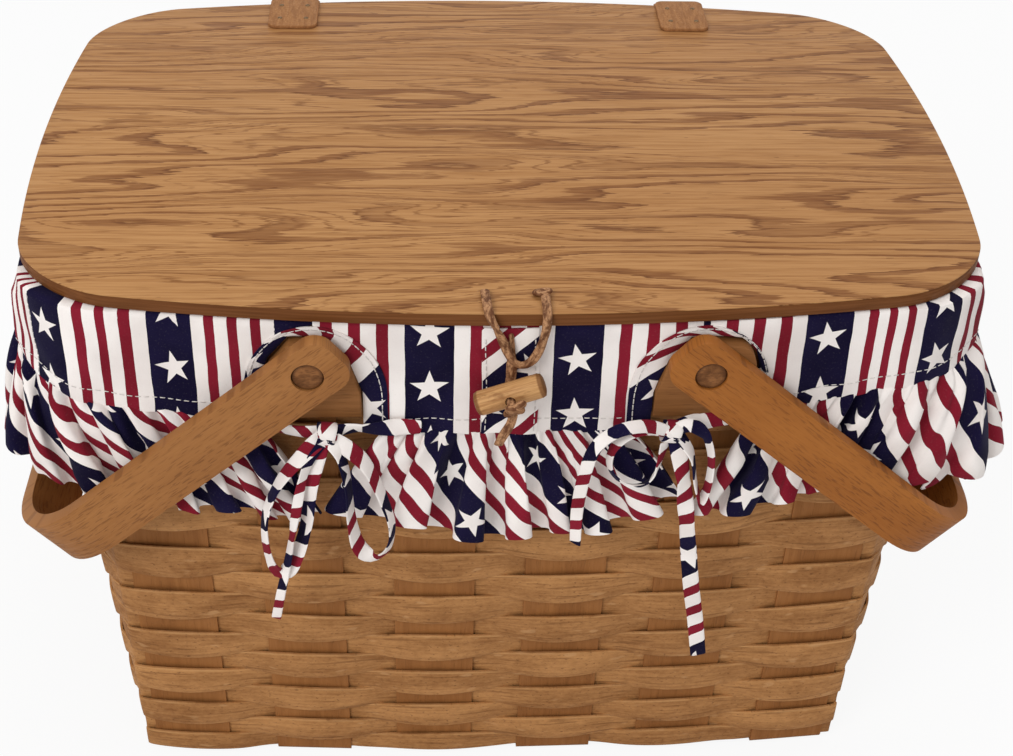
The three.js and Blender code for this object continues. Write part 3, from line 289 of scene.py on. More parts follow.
def stained_splint():
    ash = Finish("weaver_wood", Specular_IOR_Level=0.16)
    grain = ash.cloth_map()
    _, v, _ = grain.split()
    place_in_row = v / (ROW_STEP / 1000)
    height = place_in_row.fract() * ROW_STEP
    chance = ash.node("TexWhiteNoise", {"noise_dimensions": "1D"}, {"W": place_in_row.floor()})
    tone = grain.noise((6, 46, 1), 3, 0.55)
    cloud = grain.noise((34, 70, 1), 4, 0.62, (2.2, 5.1, 0))
    fibres = grain.noise((17, 780, 1), 3, 0.6)
    specks = grain.noise((430, 900, 1), 1, 0.4, (0.4, 0.9, 0))
    streaks = grain.noise((30, 520, 1), 1, 0.4, (5.4, 2.9, 0))
    scratches = grain.noise((75, 210, 1), 1, 0.4, (9.1, 3.3, 0))
    mottle = grain.noise((240, 520, 1), 3, 0.7, (7.4, 1.9, 0))
    shade = tone.smooth(0.34, 0.68) * 0.34 + fibres.smooth(0.36, 0.66) * 0.2 + cloud.smooth(0.38, 0.64) * 0.26
    shade = shade + mottle.smooth(0.36, 0.66) * 0.22 + chance * 0.12 - 0.06
    colour = ash.mix(shade, (194, 140, 86), (130, 83, 43))
    colour = ash.mix(specks.smooth(0.64, 0.74, 0.0, 0.55), colour, (94, 55, 26))
    colour = ash.mix(streaks.smooth(0.60, 0.72, 0.0, 0.5), colour, (108, 66, 32))
    colour = ash.mix(scratches.smooth(0.66, 0.74, 0.0, 0.35), colour, (206, 160, 112))
    # painted highlight: a patchy lighter band along the upper edge of each row, where the edge catches the
    # light
    upper_edge_highlight = height.smooth(ROW_TOP - 1.5, ROW_TOP - 0.5) * cloud.smooth(0.36, 0.56)
    colour = ash.mix(upper_edge_highlight * 0.5, colour, (206, 156, 104))
    relief = fibres * 0.4 + cloud * 0.6 + mottle * 0.5 - specks.smooth(0.64, 0.74) * 0.5
    return ash.wear(colour, cloud.smooth(0.3, 0.7, 0.56, 0.7), relief.bump(0.4, 0.0005))


weaver_wood = stained_splint()
print("stained splints")

# %% [markdown]
# The lid is a plain-sawn oak veneer. Its dark figure is made of growth rings
# cut at a shallow angle, so the lines are contours of a slowly changing height:
# thin where it changes fast, and broad flames where it hardly changes.
# %% Oak veneer
def oak_veneer():
    oak = Finish("oak_veneer", Specular_IOR_Level=0.16)
    at = oak.place()
    _, y, _ = at.split()
    hills = at.noise((3.4, 24, 1), 1.6, 0.45, (4.2, 1.1, 0))
    drift = at.noise((11, 70, 1), 2, 0.5, (1.5, 8.1, 0))
    feather = at.noise((26, 640, 1), 3, 0.65, (3.3, 0.7, 0))
    rings = y * 62 + hills * 9.5 + drift * 1.1 + feather * 0.62
    ring = rings.fract()
    zone = ring.smooth(0.0, 0.04) * ring.smooth(0.30, 0.36, 1.0, 0.0)
    edge = ring.smooth(0.0, 0.025) * ring.smooth(0.05, 0.12, 1.0, 0.0)
    thin = (y * 235 + hills * 34 + drift * 3.2 + feather * 1.1).fract()
    pores = at.noise((42, 1300, 1), 2, 0.6)
    fibres = at.noise((18, 640, 1), 3, 0.65, (2, 2, 0))
    patchy = at.noise((6, 24, 1), 2, 0.5, (7.7, 3.3, 0))
    strength = patchy.smooth(0.34, 0.52, 0.35, 1.0)
    hairs = thin.smooth(0.0, 0.05) * thin.smooth(0.16, 0.24, 1.0, 0.0) * patchy.smooth(0.42, 0.56, 1.0, 0.15)
    dark = zone * strength * pores.smooth(0.3, 0.6, 0.55, 1.0)
    tone = oak.mix(fibres.smooth(0.34, 0.68), (188, 139, 88), (168, 119, 71))
    broad = at.noise((3, 9, 1), 2, 0.5)
    tone = oak.mix(broad.smooth(0.3, 0.7, 0.0, 0.3), tone, (164, 112, 65))
    fine = pores.smooth(0.54, 0.66) * fibres.smooth(0.40, 0.60)
    tone = oak.mix(fine * 0.5, tone, (134, 86, 45))
    nicks = at.noise((120, 500, 1), 1, 0.4, (6, 2, 0))
    tone = oak.mix(nicks.smooth(0.76, 0.79, 0.0, 0.5), tone, (96, 56, 26))
    tone = oak.mix(hairs * pores.smooth(0.3, 0.55, 0.25, 0.75), tone, (122, 75, 36))
    tone = oak.mix(dark * 0.9, tone, (124, 76, 38))
    colour = oak.mix(edge * strength * 0.8, tone, (104, 60, 26))
    height = fibres * 0.35 - dark * 0.4 - edge * 0.4 - fine * 0.4 - hairs * 0.3
    rough = fibres.smooth(0.3, 0.7, 0.5, 0.62)
    return oak.wear(colour, rough, height.bump(0.25, 0.0003))


def pressed_edge():
    core = Finish("lid_core", Specular_IOR_Level=0.16)
    at = core.place()
    layers = at.noise((9, 140, 900), 3, 0.6)
    blots = at.noise((5, 150, 120), 3, 0.6, (2, 1, 0))
    tone = core.mix(layers.smooth(0.3, 0.7), (122, 74, 36), (100, 57, 23))
    tone = core.mix(blots.smooth(0.45, 0.75, 0.0, 0.4), tone, (84, 46, 18))
    return core.wear(tone, layers.smooth(0.3, 0.7, 0.5, 0.66), layers.bump(0.3, 0.0003))


def end_grain():
    peg = Finish("peg_end_grain", Specular_IOR_Level=0.2)
    at = peg.place()
    x, _, z = at.split()
    across, rise = abs(x) - EAR_X / 1000, z - PIVOT_Z / 1000
    radius = (across * across + rise * rise).maths("SQRT", 0.0)
    blur = at.noise((150, 20, 260), 3, 0.6)
    pores = at.noise((420, 60, 1500), 2, 0.5)
    tone = peg.mix(blur.smooth(0.32, 0.68), (142, 92, 50), (100, 60, 28))
    tone = peg.mix(pores.smooth(0.5, 0.68, 0.0, 0.5), tone, (78, 44, 18))
    rim = radius.smooth(0.0052, 0.0074)
    tone = peg.mix(rim * 0.7, tone, (74, 41, 16))
    return peg.wear(tone, blur.smooth(0.3, 0.7, 0.5, 0.64), (pores * 0.6 + blur).bump(0.5, 0.0005))


def leather(name, along, light, dark, stretch, share):
    """Leather with a fine grain, and patches drawn out along the first coordinate."""
    hide = Finish(name, Specular_IOR_Level=0.25)
    at = along(hide)
    grain = at.noise((700, 900, 900), 3, 0.6)
    patch = at.noise((stretch, 420, 420), 3, 0.6)
    tone = hide.mix(patch.smooth(0.38, 0.62) * share, light, dark)
    tone = hide.mix(grain.smooth(0.50, 0.66, 0.0, 0.7 * share), tone, dark)
    tone = hide.mix(grain.smooth(0.30, 0.40, 0.5 * share, 0.0), tone, (214, 168, 128))
    return hide.wear(tone, grain.smooth(0.3, 0.7, 0.62, 0.8), (grain + patch).bump(0.5, 0.0004))


veneer = oak_veneer()
lid_core = pressed_edge()
peg_wood = end_grain()
lace = leather("rawhide_lace", by_map, (184, 136, 96), (98, 58, 32), 150, 1.0)
strap_leather = leather("strap_leather", by_axis("yxz"), (164, 114, 70), (128, 82, 46), 90, 0.55)
print("oak, lid edge, pegs and leather")

# %% [markdown]
# The cloth is a printed cotton: navy columns of white stars between white and
# red stripes, a traditional pattern. The print belongs to the flat cloth, so it
# is drawn in each piece's own flat map, in metres, and bends with the folds.
# A star is one straight edge, repeated by folding the angle round its middle.
# %% Printed cotton
PRINT_PERIOD = 0.0716
NAVY_WIDTH = 0.0238
WHITE_STRIPE, RED_STRIPE = 0.0076, 0.0058
STAR_PITCH = 0.0328
STAR_RADIUS = 0.0099
PRINT_SHIFT = (0.033, 0.2945)


def printed_cotton():
    cloth = Finish("print_front", Specular_IOR_Level=0.06, Sheen_Weight=0.03, Sheen_Roughness=0.5)
    flat = cloth.cloth_map()
    u, v, _ = flat.split()
    wobble = flat.noise((60, 60, 60), 2, 0.5) * 0.0011 - 0.00055
    u = u + wobble + (NAVY_WIDTH / 2 - PRINT_SHIFT[0])
    v = v + wobble - PRINT_SHIFT[1]
    repeat = u / PRINT_PERIOD
    column = repeat.floor()
    across = repeat.fract() * PRINT_PERIOD
    pair = WHITE_STRIPE + RED_STRIPE
    slice_of_star = math.pi * 2 / 5
    stripe = ((across - NAVY_WIDTH) / pair).fract()
    navy = across < NAVY_WIDTH
    red = stripe > WHITE_STRIPE / pair
    row = v / STAR_PITCH + column * 0.5
    sx = across - NAVY_WIDTH / 2
    sy = (row.fract() - 0.5) * STAR_PITCH
    chance = cloth.node("TexWhiteNoise", {"noise_dimensions": "2D"}, {
        "Vector": cloth.node("CombineXYZ", None, {0: column, 1: row.floor()})})
    angle = sx.maths("ARCTAN2", sy) + (chance - 0.5) * 0.5
    fold = abs((angle / slice_of_star + 0.5).fract() - 0.5) * slice_of_star
    far = (sx * sx + sy * sy).maths("SQRT", 0.0)
    px = far * fold.maths("COSINE", 0.0)
    py = far * fold.maths("SINE", 0.0)
    inner = STAR_RADIUS * 0.39
    bx, by = inner * math.cos(math.pi / 5), inner * math.sin(math.pi / 5)
    length = math.hypot(bx - STAR_RADIUS, by)
    edge = ((px - STAR_RADIUS) * by - py * (bx - STAR_RADIUS)) / length
    star = edge.smooth(-0.00012, 0.00012, 1.0, 0.0)
    fade = flat.noise((25, 25, 25), 3, 0.5)
    white = cloth.mix(fade.smooth(0.3, 0.7), (253, 246, 241), (238, 229, 224))
    blue = cloth.mix(fade.smooth(0.3, 0.7), (14, 9, 38), (24, 19, 52))
    crimson = cloth.mix(fade.smooth(0.3, 0.7), (138, 30, 48), (118, 24, 38))
    stripes = cloth.mix(red, white, crimson)
    starred = cloth.mix(star, blue, white)
    colour = cloth.mix(navy, stripes, starred)
    threads = 2 * math.pi / 0.0005
    warp, weft = (u * threads).maths("SINE", 0.0), (v * threads).maths("SINE", 0.0)
    slub = flat.noise((900, 900, 900), 2, 0.6)
    height = warp * weft * 0.25 + slub * 0.6 + fade
    colour = cloth.mix(slub.smooth(0.55, 0.75, 0.0, 0.07), colour, (150, 142, 142))
    return cloth.wear(colour, slub.smooth(0.3, 0.7, 0.78, 0.92), height.bump(0.3, 0.0003))


cotton = printed_cotton()
cord = Finish("sewing_thread", Specular_IOR_Level=0.2)
spun = cord.place().noise((400, 400, 400)).smooth(0.3, 0.7)
thread = cord.wear(cord.mix(spun, (232, 226, 220), (205, 198, 194)),
                   cord.place().noise(800).smooth(0.3, 0.7, 0.75, 0.9))
print("printed cotton and thread")

# %% [markdown]
# Most pieces of a basket are strips: splints, bands, hoops, tapes and cloth. A
# strip starts as a grid. Each of its points has two shares, along and across,
# and a rule for the piece turns them into its place in millimetres. Solidify
# then gives the strip its thickness, and Bevel its rounded edges.
# %% Strips from grids
def dress(piece, material, body, slot, *nodes):
    """Gives a finished piece its material and its body, and hides the CAD nodes it stands for. Its slot is
    not used.
    """
    piece.data.materials.clear()
    piece.data.materials.append(material)
    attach(piece, body)
    if nodes:
        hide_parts(*nodes)
    return piece


def deselect():
    if bpy.context.object and bpy.context.object.mode != "OBJECT":
        bpy.ops.object.mode_set(mode="OBJECT")
    bpy.ops.object.select_all(action="DESELECT")


def pick(piece):
    deselect()
    bpy.context.view_layer.objects.active = piece
    piece.select_set(True)


def apply(piece, kind, **settings):
    pick(piece)
    modifier = piece.modifiers.new(kind.title(), kind)
    for setting, value in settings.items():
        setattr(modifier, setting, value)
    bpy.ops.object.modifier_apply(modifier=modifier.name)


def edit(piece, *steps):
    """Runs edit-mode operators on all of a piece. A step is an operator and its settings."""
    pick(piece)
    bpy.ops.object.mode_set(mode="EDIT")
    bpy.ops.mesh.select_all(action="SELECT")
    for operator, settings in steps:
        operator(**settings)
    bpy.ops.object.mode_set(mode="OBJECT")


def cut_out(piece, cutter):
    """Takes a cutter's shape out of a piece, and removes the cutter."""
    apply(piece, "BOOLEAN", operation="DIFFERENCE", object=cutter, solver="EXACT")
    bpy.data.objects.remove(cutter)


def drill(piece, radius, depth, place, vertices):
    """A round hole from front to back, of a radius and a depth in mm."""
    bpy.ops.mesh.primitive_cylinder_add(vertices=vertices, radius=radius * MM, depth=depth * MM,
                                        rotation=(math.pi / 2, 0, 0), location=place)
    cut_out(piece, bpy.context.object)


def bevel(piece, width, segments=2, angle=50):
    """Rounds the sharp edges of a piece by a width in mm."""
    apply(piece, "BEVEL", width=width * MM, segments=segments, limit_method="ANGLE",
          angle_limit=math.radians(angle))


def smooth(piece, angle=35):
    pick(piece)
    bpy.ops.object.shade_smooth_by_angle(angle=math.radians(angle))


def strip(name, along, across, place, flat, merge=False):
    """A grid whose points go to place(a, b) in mm, with the flat map flat(a, b) in metres."""
    deselect()
    bpy.ops.mesh.primitive_grid_add(x_subdivisions=along, y_subdivisions=across, size=1)
    piece = bpy.context.object
    piece.name = piece.data.name = name
    mesh = piece.data
    spots = np.empty(len(mesh.vertices) * 3)
    mesh.vertices.foreach_get("co", spots)
    a, b = spots.reshape(-1, 3)[:, 0] + 0.5, spots.reshape(-1, 3)[:, 1] + 0.5
    mesh.vertices.foreach_set("co", (np.asarray(place(a, b)) * MM).ravel())
    corners = np.empty(len(mesh.loops), dtype=np.int64)
    mesh.loops.foreach_get("vertex_index", corners)
    mapped = np.stack(np.broadcast_arrays(*flat(a, b)), axis=1)
    mesh.uv_layers.active.data.foreach_set("uv", mapped[corners].ravel())
    mesh.update()
    if merge:
        edit(piece, (bpy.ops.mesh.remove_doubles, {"threshold": 1e-6}))
    return piece


def lerp(a, b, share):
    return a + (b - a) * share


def ramp(value, start, end):
    """From 0 at start to 1 at end, and level outside. The end may be the lower one."""
    return np.clip((np.asarray(value, float) - start) / (end - start), 0, 1)


def catmull(points, s, closed=False):
    """Points at the positions s, counted in points, on a smooth line through all of them."""
    points = np.asarray(points, dtype=float)
    n = len(points)
    i = np.floor(s).astype(int)
    if not closed:
        i = np.clip(i, 0, n - 2)
    f = (s - i)[:, None]
    wrap = (lambda k: k % n) if closed else (lambda k: np.clip(k, 0, n - 1))
    p, q, r, t = (points[wrap(i + k)] for k in (-1, 0, 1, 2))
    return 0.5 * (2 * q + (r - p) * f + (2 * p - 5 * q + 4 * r - t) * f**2 + (3 * q - p - 3 * r + t) * f**3)


def unit(v):
    return v / np.maximum(np.linalg.norm(v, axis=-1, keepdims=True), 1e-9)


def run_of(line):
    """The distance from the first point of a line to each of its points."""
    return np.concatenate([[0], np.cumsum(np.linalg.norm(np.diff(line, axis=0), axis=1))])


def cut_at(degrees, u, v, shift=(0, 0)):
    """The flat map of a piece cut at an angle to the print. u and v are in mm along and across it."""
    c, s = math.cos(math.radians(degrees)), math.sin(math.radians(degrees))
    return (u * c - v * s + shift[0]) * MM, (u * s + v * c + shift[1]) * MM


print("strip helper ready")

# %% [markdown]
# The wall of the basket is the ground that everything follows. Its plan is the
# same as the CAD's: four bowed sides, with stations at both edges of every
# upright and two round each corner, once for the base and once for the rim.
# %% Plan of the wall
BASE, RIM = (422, 296, 3, 5), (475, 324, 11, 20)
UPRIGHT_HALF = 23
LONG_PITCH, SHORT_PITCH = 71.6, 68
SIDES = (((1, 0), (0, -1), 6, LONG_PITCH), ((0, 1), (1, 0), 4, SHORT_PITCH),
         ((-1, 0), (0, 1), 6, LONG_PITCH), ((0, -1), (-1, 0), 4, SHORT_PITCH))


def stand_out(side, size, u):
    length, width, end_bow, front_bow = size
    reach, half, bow = (length / 2, width / 2, end_bow) if side % 2 else (width / 2, length / 2, front_bow)
    return reach - bow * (u / half) ** 2, -2 * bow * u / half**2


def upright_frames():
    frames = []
    for number, (along, out, count, pitch) in enumerate(SIDES):
        along, out = np.array(along, float), np.array(out, float)
        for i in range(count):
            u = (i - (count - 1) / 2) * pitch
            (low, slope_low), (high, slope_high) = stand_out(number, BASE, u), stand_out(number, RIM, u)
            slope = (slope_low + slope_high) / 2
            frames.append((along * u + out * low, along * u + out * high,
                           unit(along + out * slope), unit(out - along * slope), number))
    return frames


def corner_spot(start, way, end, back, share):
    span = end - start
    reach = (span[0] * back[1] - span[1] * back[0]) / (way[0] * back[1] - way[1] * back[0])
    meeting = lerp(start + way * reach, (start + end) / 2, 0.35)
    return lerp(lerp(start, meeting, share), lerp(meeting, end, share), share)


def wall_stations():
    frames = upright_frames()
    low, high, normals, centres = [], [], [], []
    for i, (base, rim, tangent, normal, number) in enumerate(frames):
        centres.append(len(low) + 0.5)
        for end in (-UPRIGHT_HALF, UPRIGHT_HALF):
            low.append(base + tangent * end)
            high.append(rim + tangent * end)
            normals.append(normal)
        base2, rim2, tangent2, normal2, number2 = frames[(i + 1) % len(frames)]
        if number2 != number:
            starts, ends = (low[-1], high[-1]), [v - tangent2 * UPRIGHT_HALF for v in (base2, rim2)]
            for share in (1 / 3, 2 / 3):
                for line, start, end in zip((low, high), starts, ends):
                    line.append(corner_spot(start, tangent, end, -tangent2, share))
                normals.append(unit(lerp(normal, normal2, share)))
    return np.array(low), np.array(high), np.array(normals), np.array(centres)


plan_low, plan_high, plan_normal, upright_centres = wall_stations()
STATIONS = len(plan_low)


def wall_normal(s):
    return unit(catmull(plan_normal, np.asarray(s, float), closed=True))


def wall(s, z, out):
    """The place at position s round the wall, at height z and out of the uprights' middle."""
    s = np.asarray(s, float)
    z = np.broadcast_to(np.asarray(z, float), s.shape)
    share = (z / RIM_HEIGHT)[:, None]
    plan = lerp(catmull(plan_low, s, closed=True), catmull(plan_high, s, closed=True), share)
    plan = plan + wall_normal(s) * np.broadcast_to(np.asarray(out, float), s.shape)[:, None]
    return np.column_stack([plan, z])


fine_s = np.linspace(0, STATIONS, 4801)
fine_arc = run_of(wall(fine_s, 250, 8))
GIRTH = fine_arc[-1]
FRONT_MIDDLE = np.interp(5.5, fine_s, fine_arc)


def arc_of(s):
    """Distance along the wall from its front middle, in mm, at position s."""
    turns = np.floor(np.asarray(s) / STATIONS)
    return np.interp(s - turns * STATIONS, fine_s, fine_arc) + turns * GIRTH - FRONT_MIDDLE


def at_arc(arc):
    arc = np.asarray(arc, float) + FRONT_MIDDLE
    turns = np.floor(arc / GIRTH)
    return np.interp(arc - turns * GIRTH, fine_arc, fine_s) + turns * STATIONS


def position_at(x, back=False):
    """The position on the front or back side that has the given x at the rim."""
    span = np.linspace(24, 35, 1101) if back else np.linspace(0, 11, 1101)
    xs = wall(span, RIM_HEIGHT, 0)[:, 0]
    order = np.argsort(xs)
    return float(np.interp(x, xs[order], span[order]))


print("stations", STATIONS, "girth", round(float(GIRTH)), "mm")

# %% [markdown]
# Seventeen weavers go round the basket, over one upright and under the next.
# A real splint bends softly between them, so its distance from the wall is a
# smooth wave from upright to upright, and the row above has the opposite wave.
# Its edges wander a little, because splints are cut by hand.
# %% Weavers
WEAVER_ROWS = 17
centre_arc = arc_of(upright_centres)


def row_edge(row):
    growth = 0.2 * WEAVER_ROWS**2
    return 4.5 + (BAND_BOTTOM - 4.5 - growth) / WEAVER_ROWS * row + 0.2 * row**2


def weave_wave(arc, row):
    """From 1 outside an upright to -1 behind the next."""
    arc = (arc - centre_arc[0]) % GIRTH + centre_arc[0]
    knots = np.append(centre_arc, centre_arc[0] + GIRTH)
    signs = np.where((np.arange(len(knots)) + row) % 2 == 0, 1.0, -1.0)
    signs[-1] = signs[0]
    i = np.clip(np.searchsorted(knots, arc, side="right") - 1, 0, len(knots) - 2)
    share = (arc - knots[i]) / (knots[i + 1] - knots[i])
    return signs[i] * np.cos(math.pi * share)


def wander(seed, arc, waves=(3, 5, 8, 13), size=1.0):
    """A slow random line round the basket that meets itself."""
    chance = np.random.default_rng(seed)
    total = np.zeros_like(arc)
    for k in waves:
        strength = chance.normal(0, 1 / len(waves) ** 0.5)
        total += strength * np.sin(2 * math.pi * k * arc / GIRTH + chance.uniform(0, 7))
    return total * size


CORNER_ARCS = arc_of(np.array([12.5, 22.5, 36.5, 46.5]))


def weave_depth(arc):
    """The weave is flatter round a corner, where no upright pushes it out."""
    away = np.min([np.abs((arc - c + GIRTH / 2) % GIRTH - GIRTH / 2) for c in CORNER_ARCS], axis=0)
    return 1 - 0.55 * np.exp(-((away / 26) ** 2))


def row_line(k, arc):
    """The line between two rows, which bulges round whichever of them passes outside."""
    line = row_edge(k) + wander(100 + k, arc, size=0.4)
    if 0 < k < WEAVER_ROWS:
        wave = -weave_wave(arc, k) * weave_depth(arc)
        line = line + (row_edge(k + 1) - row_edge(k)) * (0.17 * wave - 0.08 * np.abs(wave))
    return line


for row in range(WEAVER_ROWS):
    tall = row_edge(row + 1) - row_edge(row)
    seam = float(centre_arc[13 if row % 2 == 0 else 12])

    def weaver_place(a, b, row=row, seam=seam):
        """Where a row passes behind, its edges reach further under its neighbours'."""
        arc = seam + a * GIRTH
        wave = weave_wave(arc, row) * weave_depth(arc)
        behind = np.clip(-wave, 0, 0.6)
        low = row_line(row, arc) - (4.4 * behind if row else 0)
        high = row_line(row + 1, arc) - 0.3 + (2.0 * behind if row < WEAVER_ROWS - 1 else 0)
        height = lerp(low, high, b)
        belly = 1 - (2 * b - 1) ** 2
        reach = 2.7 if row > 1 else 2.3
        out = 0.5 + reach * wave + 0.5 * belly * wave + wander(300 + row, arc, size=0.2)
        return wall(at_arc(arc), height, out + (0.5 - b) * 0.4 * wave)

    def weaver_flat(a, b, row=row, tall=tall):
        return a * GIRTH * MM + row * 0.713, (row * ROW_STEP + ROW_TOP - (1 - b) * tall) * MM

    weaver = strip(f"woven_row_{row + 1:02d}", 560, 4, weaver_place, weaver_flat, merge=True)
    apply(weaver, "SOLIDIFY", thickness=0.0014, offset=0, use_even_offset=True)
    bevel(weaver, 0.4)
    smooth(weaver, 40)
    dress(weaver, weaver_wood, "basket_body", "weaver_wood", f"weaver_row_{row + 1:02d}")
print(WEAVER_ROWS, "weavers, last edge at", round(float(row_edge(WEAVER_ROWS)), 1), "mm")

# %% [markdown]
# Uprights and rim bands are flat pieces whose CAD shapes are right as they are,
# so they keep their meshes. The ears are copied and cleaned, their upper
# corners are sawn off at a slant, and their edges get a small bevel.
# %% Uprights, bands and ears
def finish_node(name, material):
    node = bpy.data.objects[name]
    for slot in node.material_slots:
        slot.material = material
    if not node.material_slots:
        node.data.materials.append(material)


def eased_copy(node, name, width, body, material, slot, segments=2, shape=()):
    """A copy of a CAD node with merged points, shaped by a few steps and softly bevelled."""
    deselect()
    source = bpy.data.objects[node]
    piece = source.copy()
    piece.data = source.data.copy()
    for key in list(piece.keys()):
        del piece[key]
    bpy.context.collection.objects.link(piece)
    piece.name = piece.data.name = name
    edit(piece, (bpy.ops.mesh.remove_doubles, {"threshold": 1e-5}),
         (bpy.ops.mesh.dissolve_limited, {"angle_limit": math.radians(1)}), *shape)
    bevel(piece, width, segments, 40)
    smooth(piece)
    return dress(piece, material, body, slot, node)


EAR_CUTS = ((15.2, 322, 0.316), (8.5, 322, 0.75))  # place from the ear's middle, height and slope
for count, name, wood in ((6, "crosswise", upright_across), (4, "lengthwise", upright_along)):
    for i in range(count):
        finish_node(f"upright_{name}_{i + 1}", wood)
for name in ("rim_band_outer", "rim_band_inner"):
    finish_node(name, rim_wood)
for end, sign in ENDS:
    for face in ("front", "back"):
        slant = []
        for side in (-sign, sign) if end == "left" else (-sign,):
            for x, z, fall in EAR_CUTS:
                slant += [(bpy.ops.mesh.select_all, {"action": "SELECT"}), (bpy.ops.mesh.bisect, {
                    "plane_co": ((sign * EAR_X + side * x) * MM, 0, z * MM), "plane_no": (side, 0, fall),
                    "use_fill": True, "clear_outer": True})]
        ear = eased_copy(f"ear_{end}_{face}", f"eared_block_{end}_{face}", 0.9, "basket_body", ear_wood,
                         "rim_wood", shape=slant)
        if end == "right":
            nail_y = -EAR_FACE if face == "front" else EAR_FACE
            drill(ear, 1.7, 8, ((EAR_X + 13.5) * MM, nail_y * MM, 0.3125), 16)
print("uprights and bands keep their meshes, four ears are slanted and eased, two have a nail hole")

# %% [markdown]
# Each handle is one bent strip of wood: two straight legs, two tight bends and
# a bow. The strip's corners are rounded at the ends of its legs, Solidify
# makes it 8 mm thick, and the peg holes are cut through it with a Boolean.
# %% Swing handles
INNER_HALF, THICK, REACH, OVERHANG, DEPTH, BEND = 174.0, 8.0, 196.0, 19.0, 30.0, 50.0
DROP, PEG_HOLE = math.radians(40.5), 7.9
LEG_ROUNDING, FINE_END = 10, 12
MID_BEND = BEND - THICK / 2
LEG = REACH - BEND + OVERHANG
HOOP_BOW = 2 * (INNER_HALF + THICK - BEND)
HOOP = 2 * LEG + math.pi * MID_BEND + HOOP_BOW


def hoop_line(d):
    """The hoop's middle line, at distance d from the end of its front leg: x out, y back."""
    near = np.minimum(d, HOOP - d)
    t = np.clip((near - LEG) / MID_BEND, 0, math.pi / 2)
    x = np.minimum(near, LEG) - OVERHANG + MID_BEND * np.sin(t)
    on_bow = np.maximum(near - LEG - math.pi / 2 * MID_BEND, 0)
    y = BEND - (INNER_HALF + THICK) - MID_BEND * np.cos(t) + on_bow
    return x, np.where(d <= HOOP / 2, y, -y)


def handle(end, sign):
    def along(a):
        """Distance along the hoop, with more steps near both ends, where the leg is rounded."""
        mirrored = np.minimum(a, 1 - a)
        d = np.where(mirrored < 0.1, FINE_END * (1 - np.cos(ramp(mirrored, 0, 0.1) * math.pi / 2)),
                     FINE_END + (HOOP / 2 - FINE_END) * (mirrored - 0.1) / 0.4)
        return np.where(a <= 0.5, d, HOOP - d)

    def width_at(a, b):
        short_of = LEG_ROUNDING - np.minimum(along(a), HOOP - along(a))
        lost = LEG_ROUNDING - np.sqrt(np.maximum(LEG_ROUNDING**2 - short_of**2, 0))
        return (2 * b - 1) * (DEPTH / 2 - np.where(short_of > 0, lost, 0))

    def handle_place(a, b):
        x, y = hoop_line(along(a))
        z = width_at(a, b)
        out = x * math.cos(DROP) + z * math.sin(DROP)
        rise = -x * math.sin(DROP) + z * math.cos(DROP)
        return np.column_stack([sign * (EAR_X + out), y, PIVOT_Z + rise])

    def handle_flat(a, b):
        own = 0.31 if sign > 0 else 0.0
        return along(a) * MM + own, width_at(a, b) * MM + own

    hoop = strip(f"bent_handle_{end}", 240, 6, handle_place, handle_flat)
    apply(hoop, "SOLIDIFY", thickness=THICK * MM, offset=0, use_even_offset=True)
    drill(hoop, PEG_HOLE, 500, (sign * EAR_X * MM, 0, PIVOT_Z * MM), 40)
    bevel(hoop, 1.3, 3, 60)
    smooth(hoop, 40)
    dress(hoop, handle_woods[end], f"handle_{end}_body", "handle_wood", f"handle_{end}")


for end, sign in ENDS:
    handle(end, sign)
    turned_down = [(bpy.ops.transform.resize, {
        "value": (0.9, 1, 0.9), "center_override": (sign * EAR_X * MM, 0, PIVOT_Z * MM)})]
    for face in ("front", "back"):
        eased_copy(f"peg_{end}_{face}", f"turned_peg_{end}_{face}", 0.7, "basket_body", peg_wood,
                   "peg_wood", 3, turned_down)
print("handles", round(HOOP), "mm long before bending")

# %% [markdown]
# The lid is a board with bowed sides and round corners. Its outline is drawn
# as a filled circle whose points are moved to the lid's curve, and extruded:
# once for the dark board, and once for the thin veneer, whose edge is eased.
# %% Lid
LID_HALF_LENGTH, LID_HALF_WIDTH, LID_CORNER = 247.5, 172.5, 48.0
END_BOW, FRONT_BOW = 11.7, 23.6


def round_rect(a, b, radius, steps, middle=(0, 0)):
    """The outline of a rectangle of half sizes a and b with round corners."""
    spots = []
    for i, (sx, sy) in enumerate(((1, -1), (1, 1), (-1, 1), (-1, -1))):
        turn = (i - 1) * math.pi / 2 + np.linspace(0, math.pi / 2, steps)
        spots.append(np.column_stack([middle[0] + sx * (a - radius) + radius * np.cos(turn),
                                      middle[1] + sy * (b - radius) + radius * np.sin(turn)]))
    return np.concatenate(spots)


def lid_outline(count):
    a, b = LID_HALF_LENGTH, LID_HALF_WIDTH
    t = np.linspace(0, 1, count, endpoint=False)
    ring = round_rect(a, b, LID_CORNER, 40)
    ring = np.vstack([ring, ring[:1]])
    shares = np.linspace(0, 1, 30, endpoint=False)[:, None]
    dense = np.concatenate([lerp(p, q, shares) for p, q in zip(ring, ring[1:])])
    x, y = dense[:, 0], dense[:, 1]
    bowed = np.column_stack([x * (1 - END_BOW / a * (y / b) ** 2), y * (1 - FRONT_BOW / b * (x / a) ** 2)])
    closed = np.vstack([bowed, bowed[:1]])
    length = run_of(closed)
    return np.column_stack([np.interp(t * length[-1], length, closed[:, k]) for k in (0, 1)])


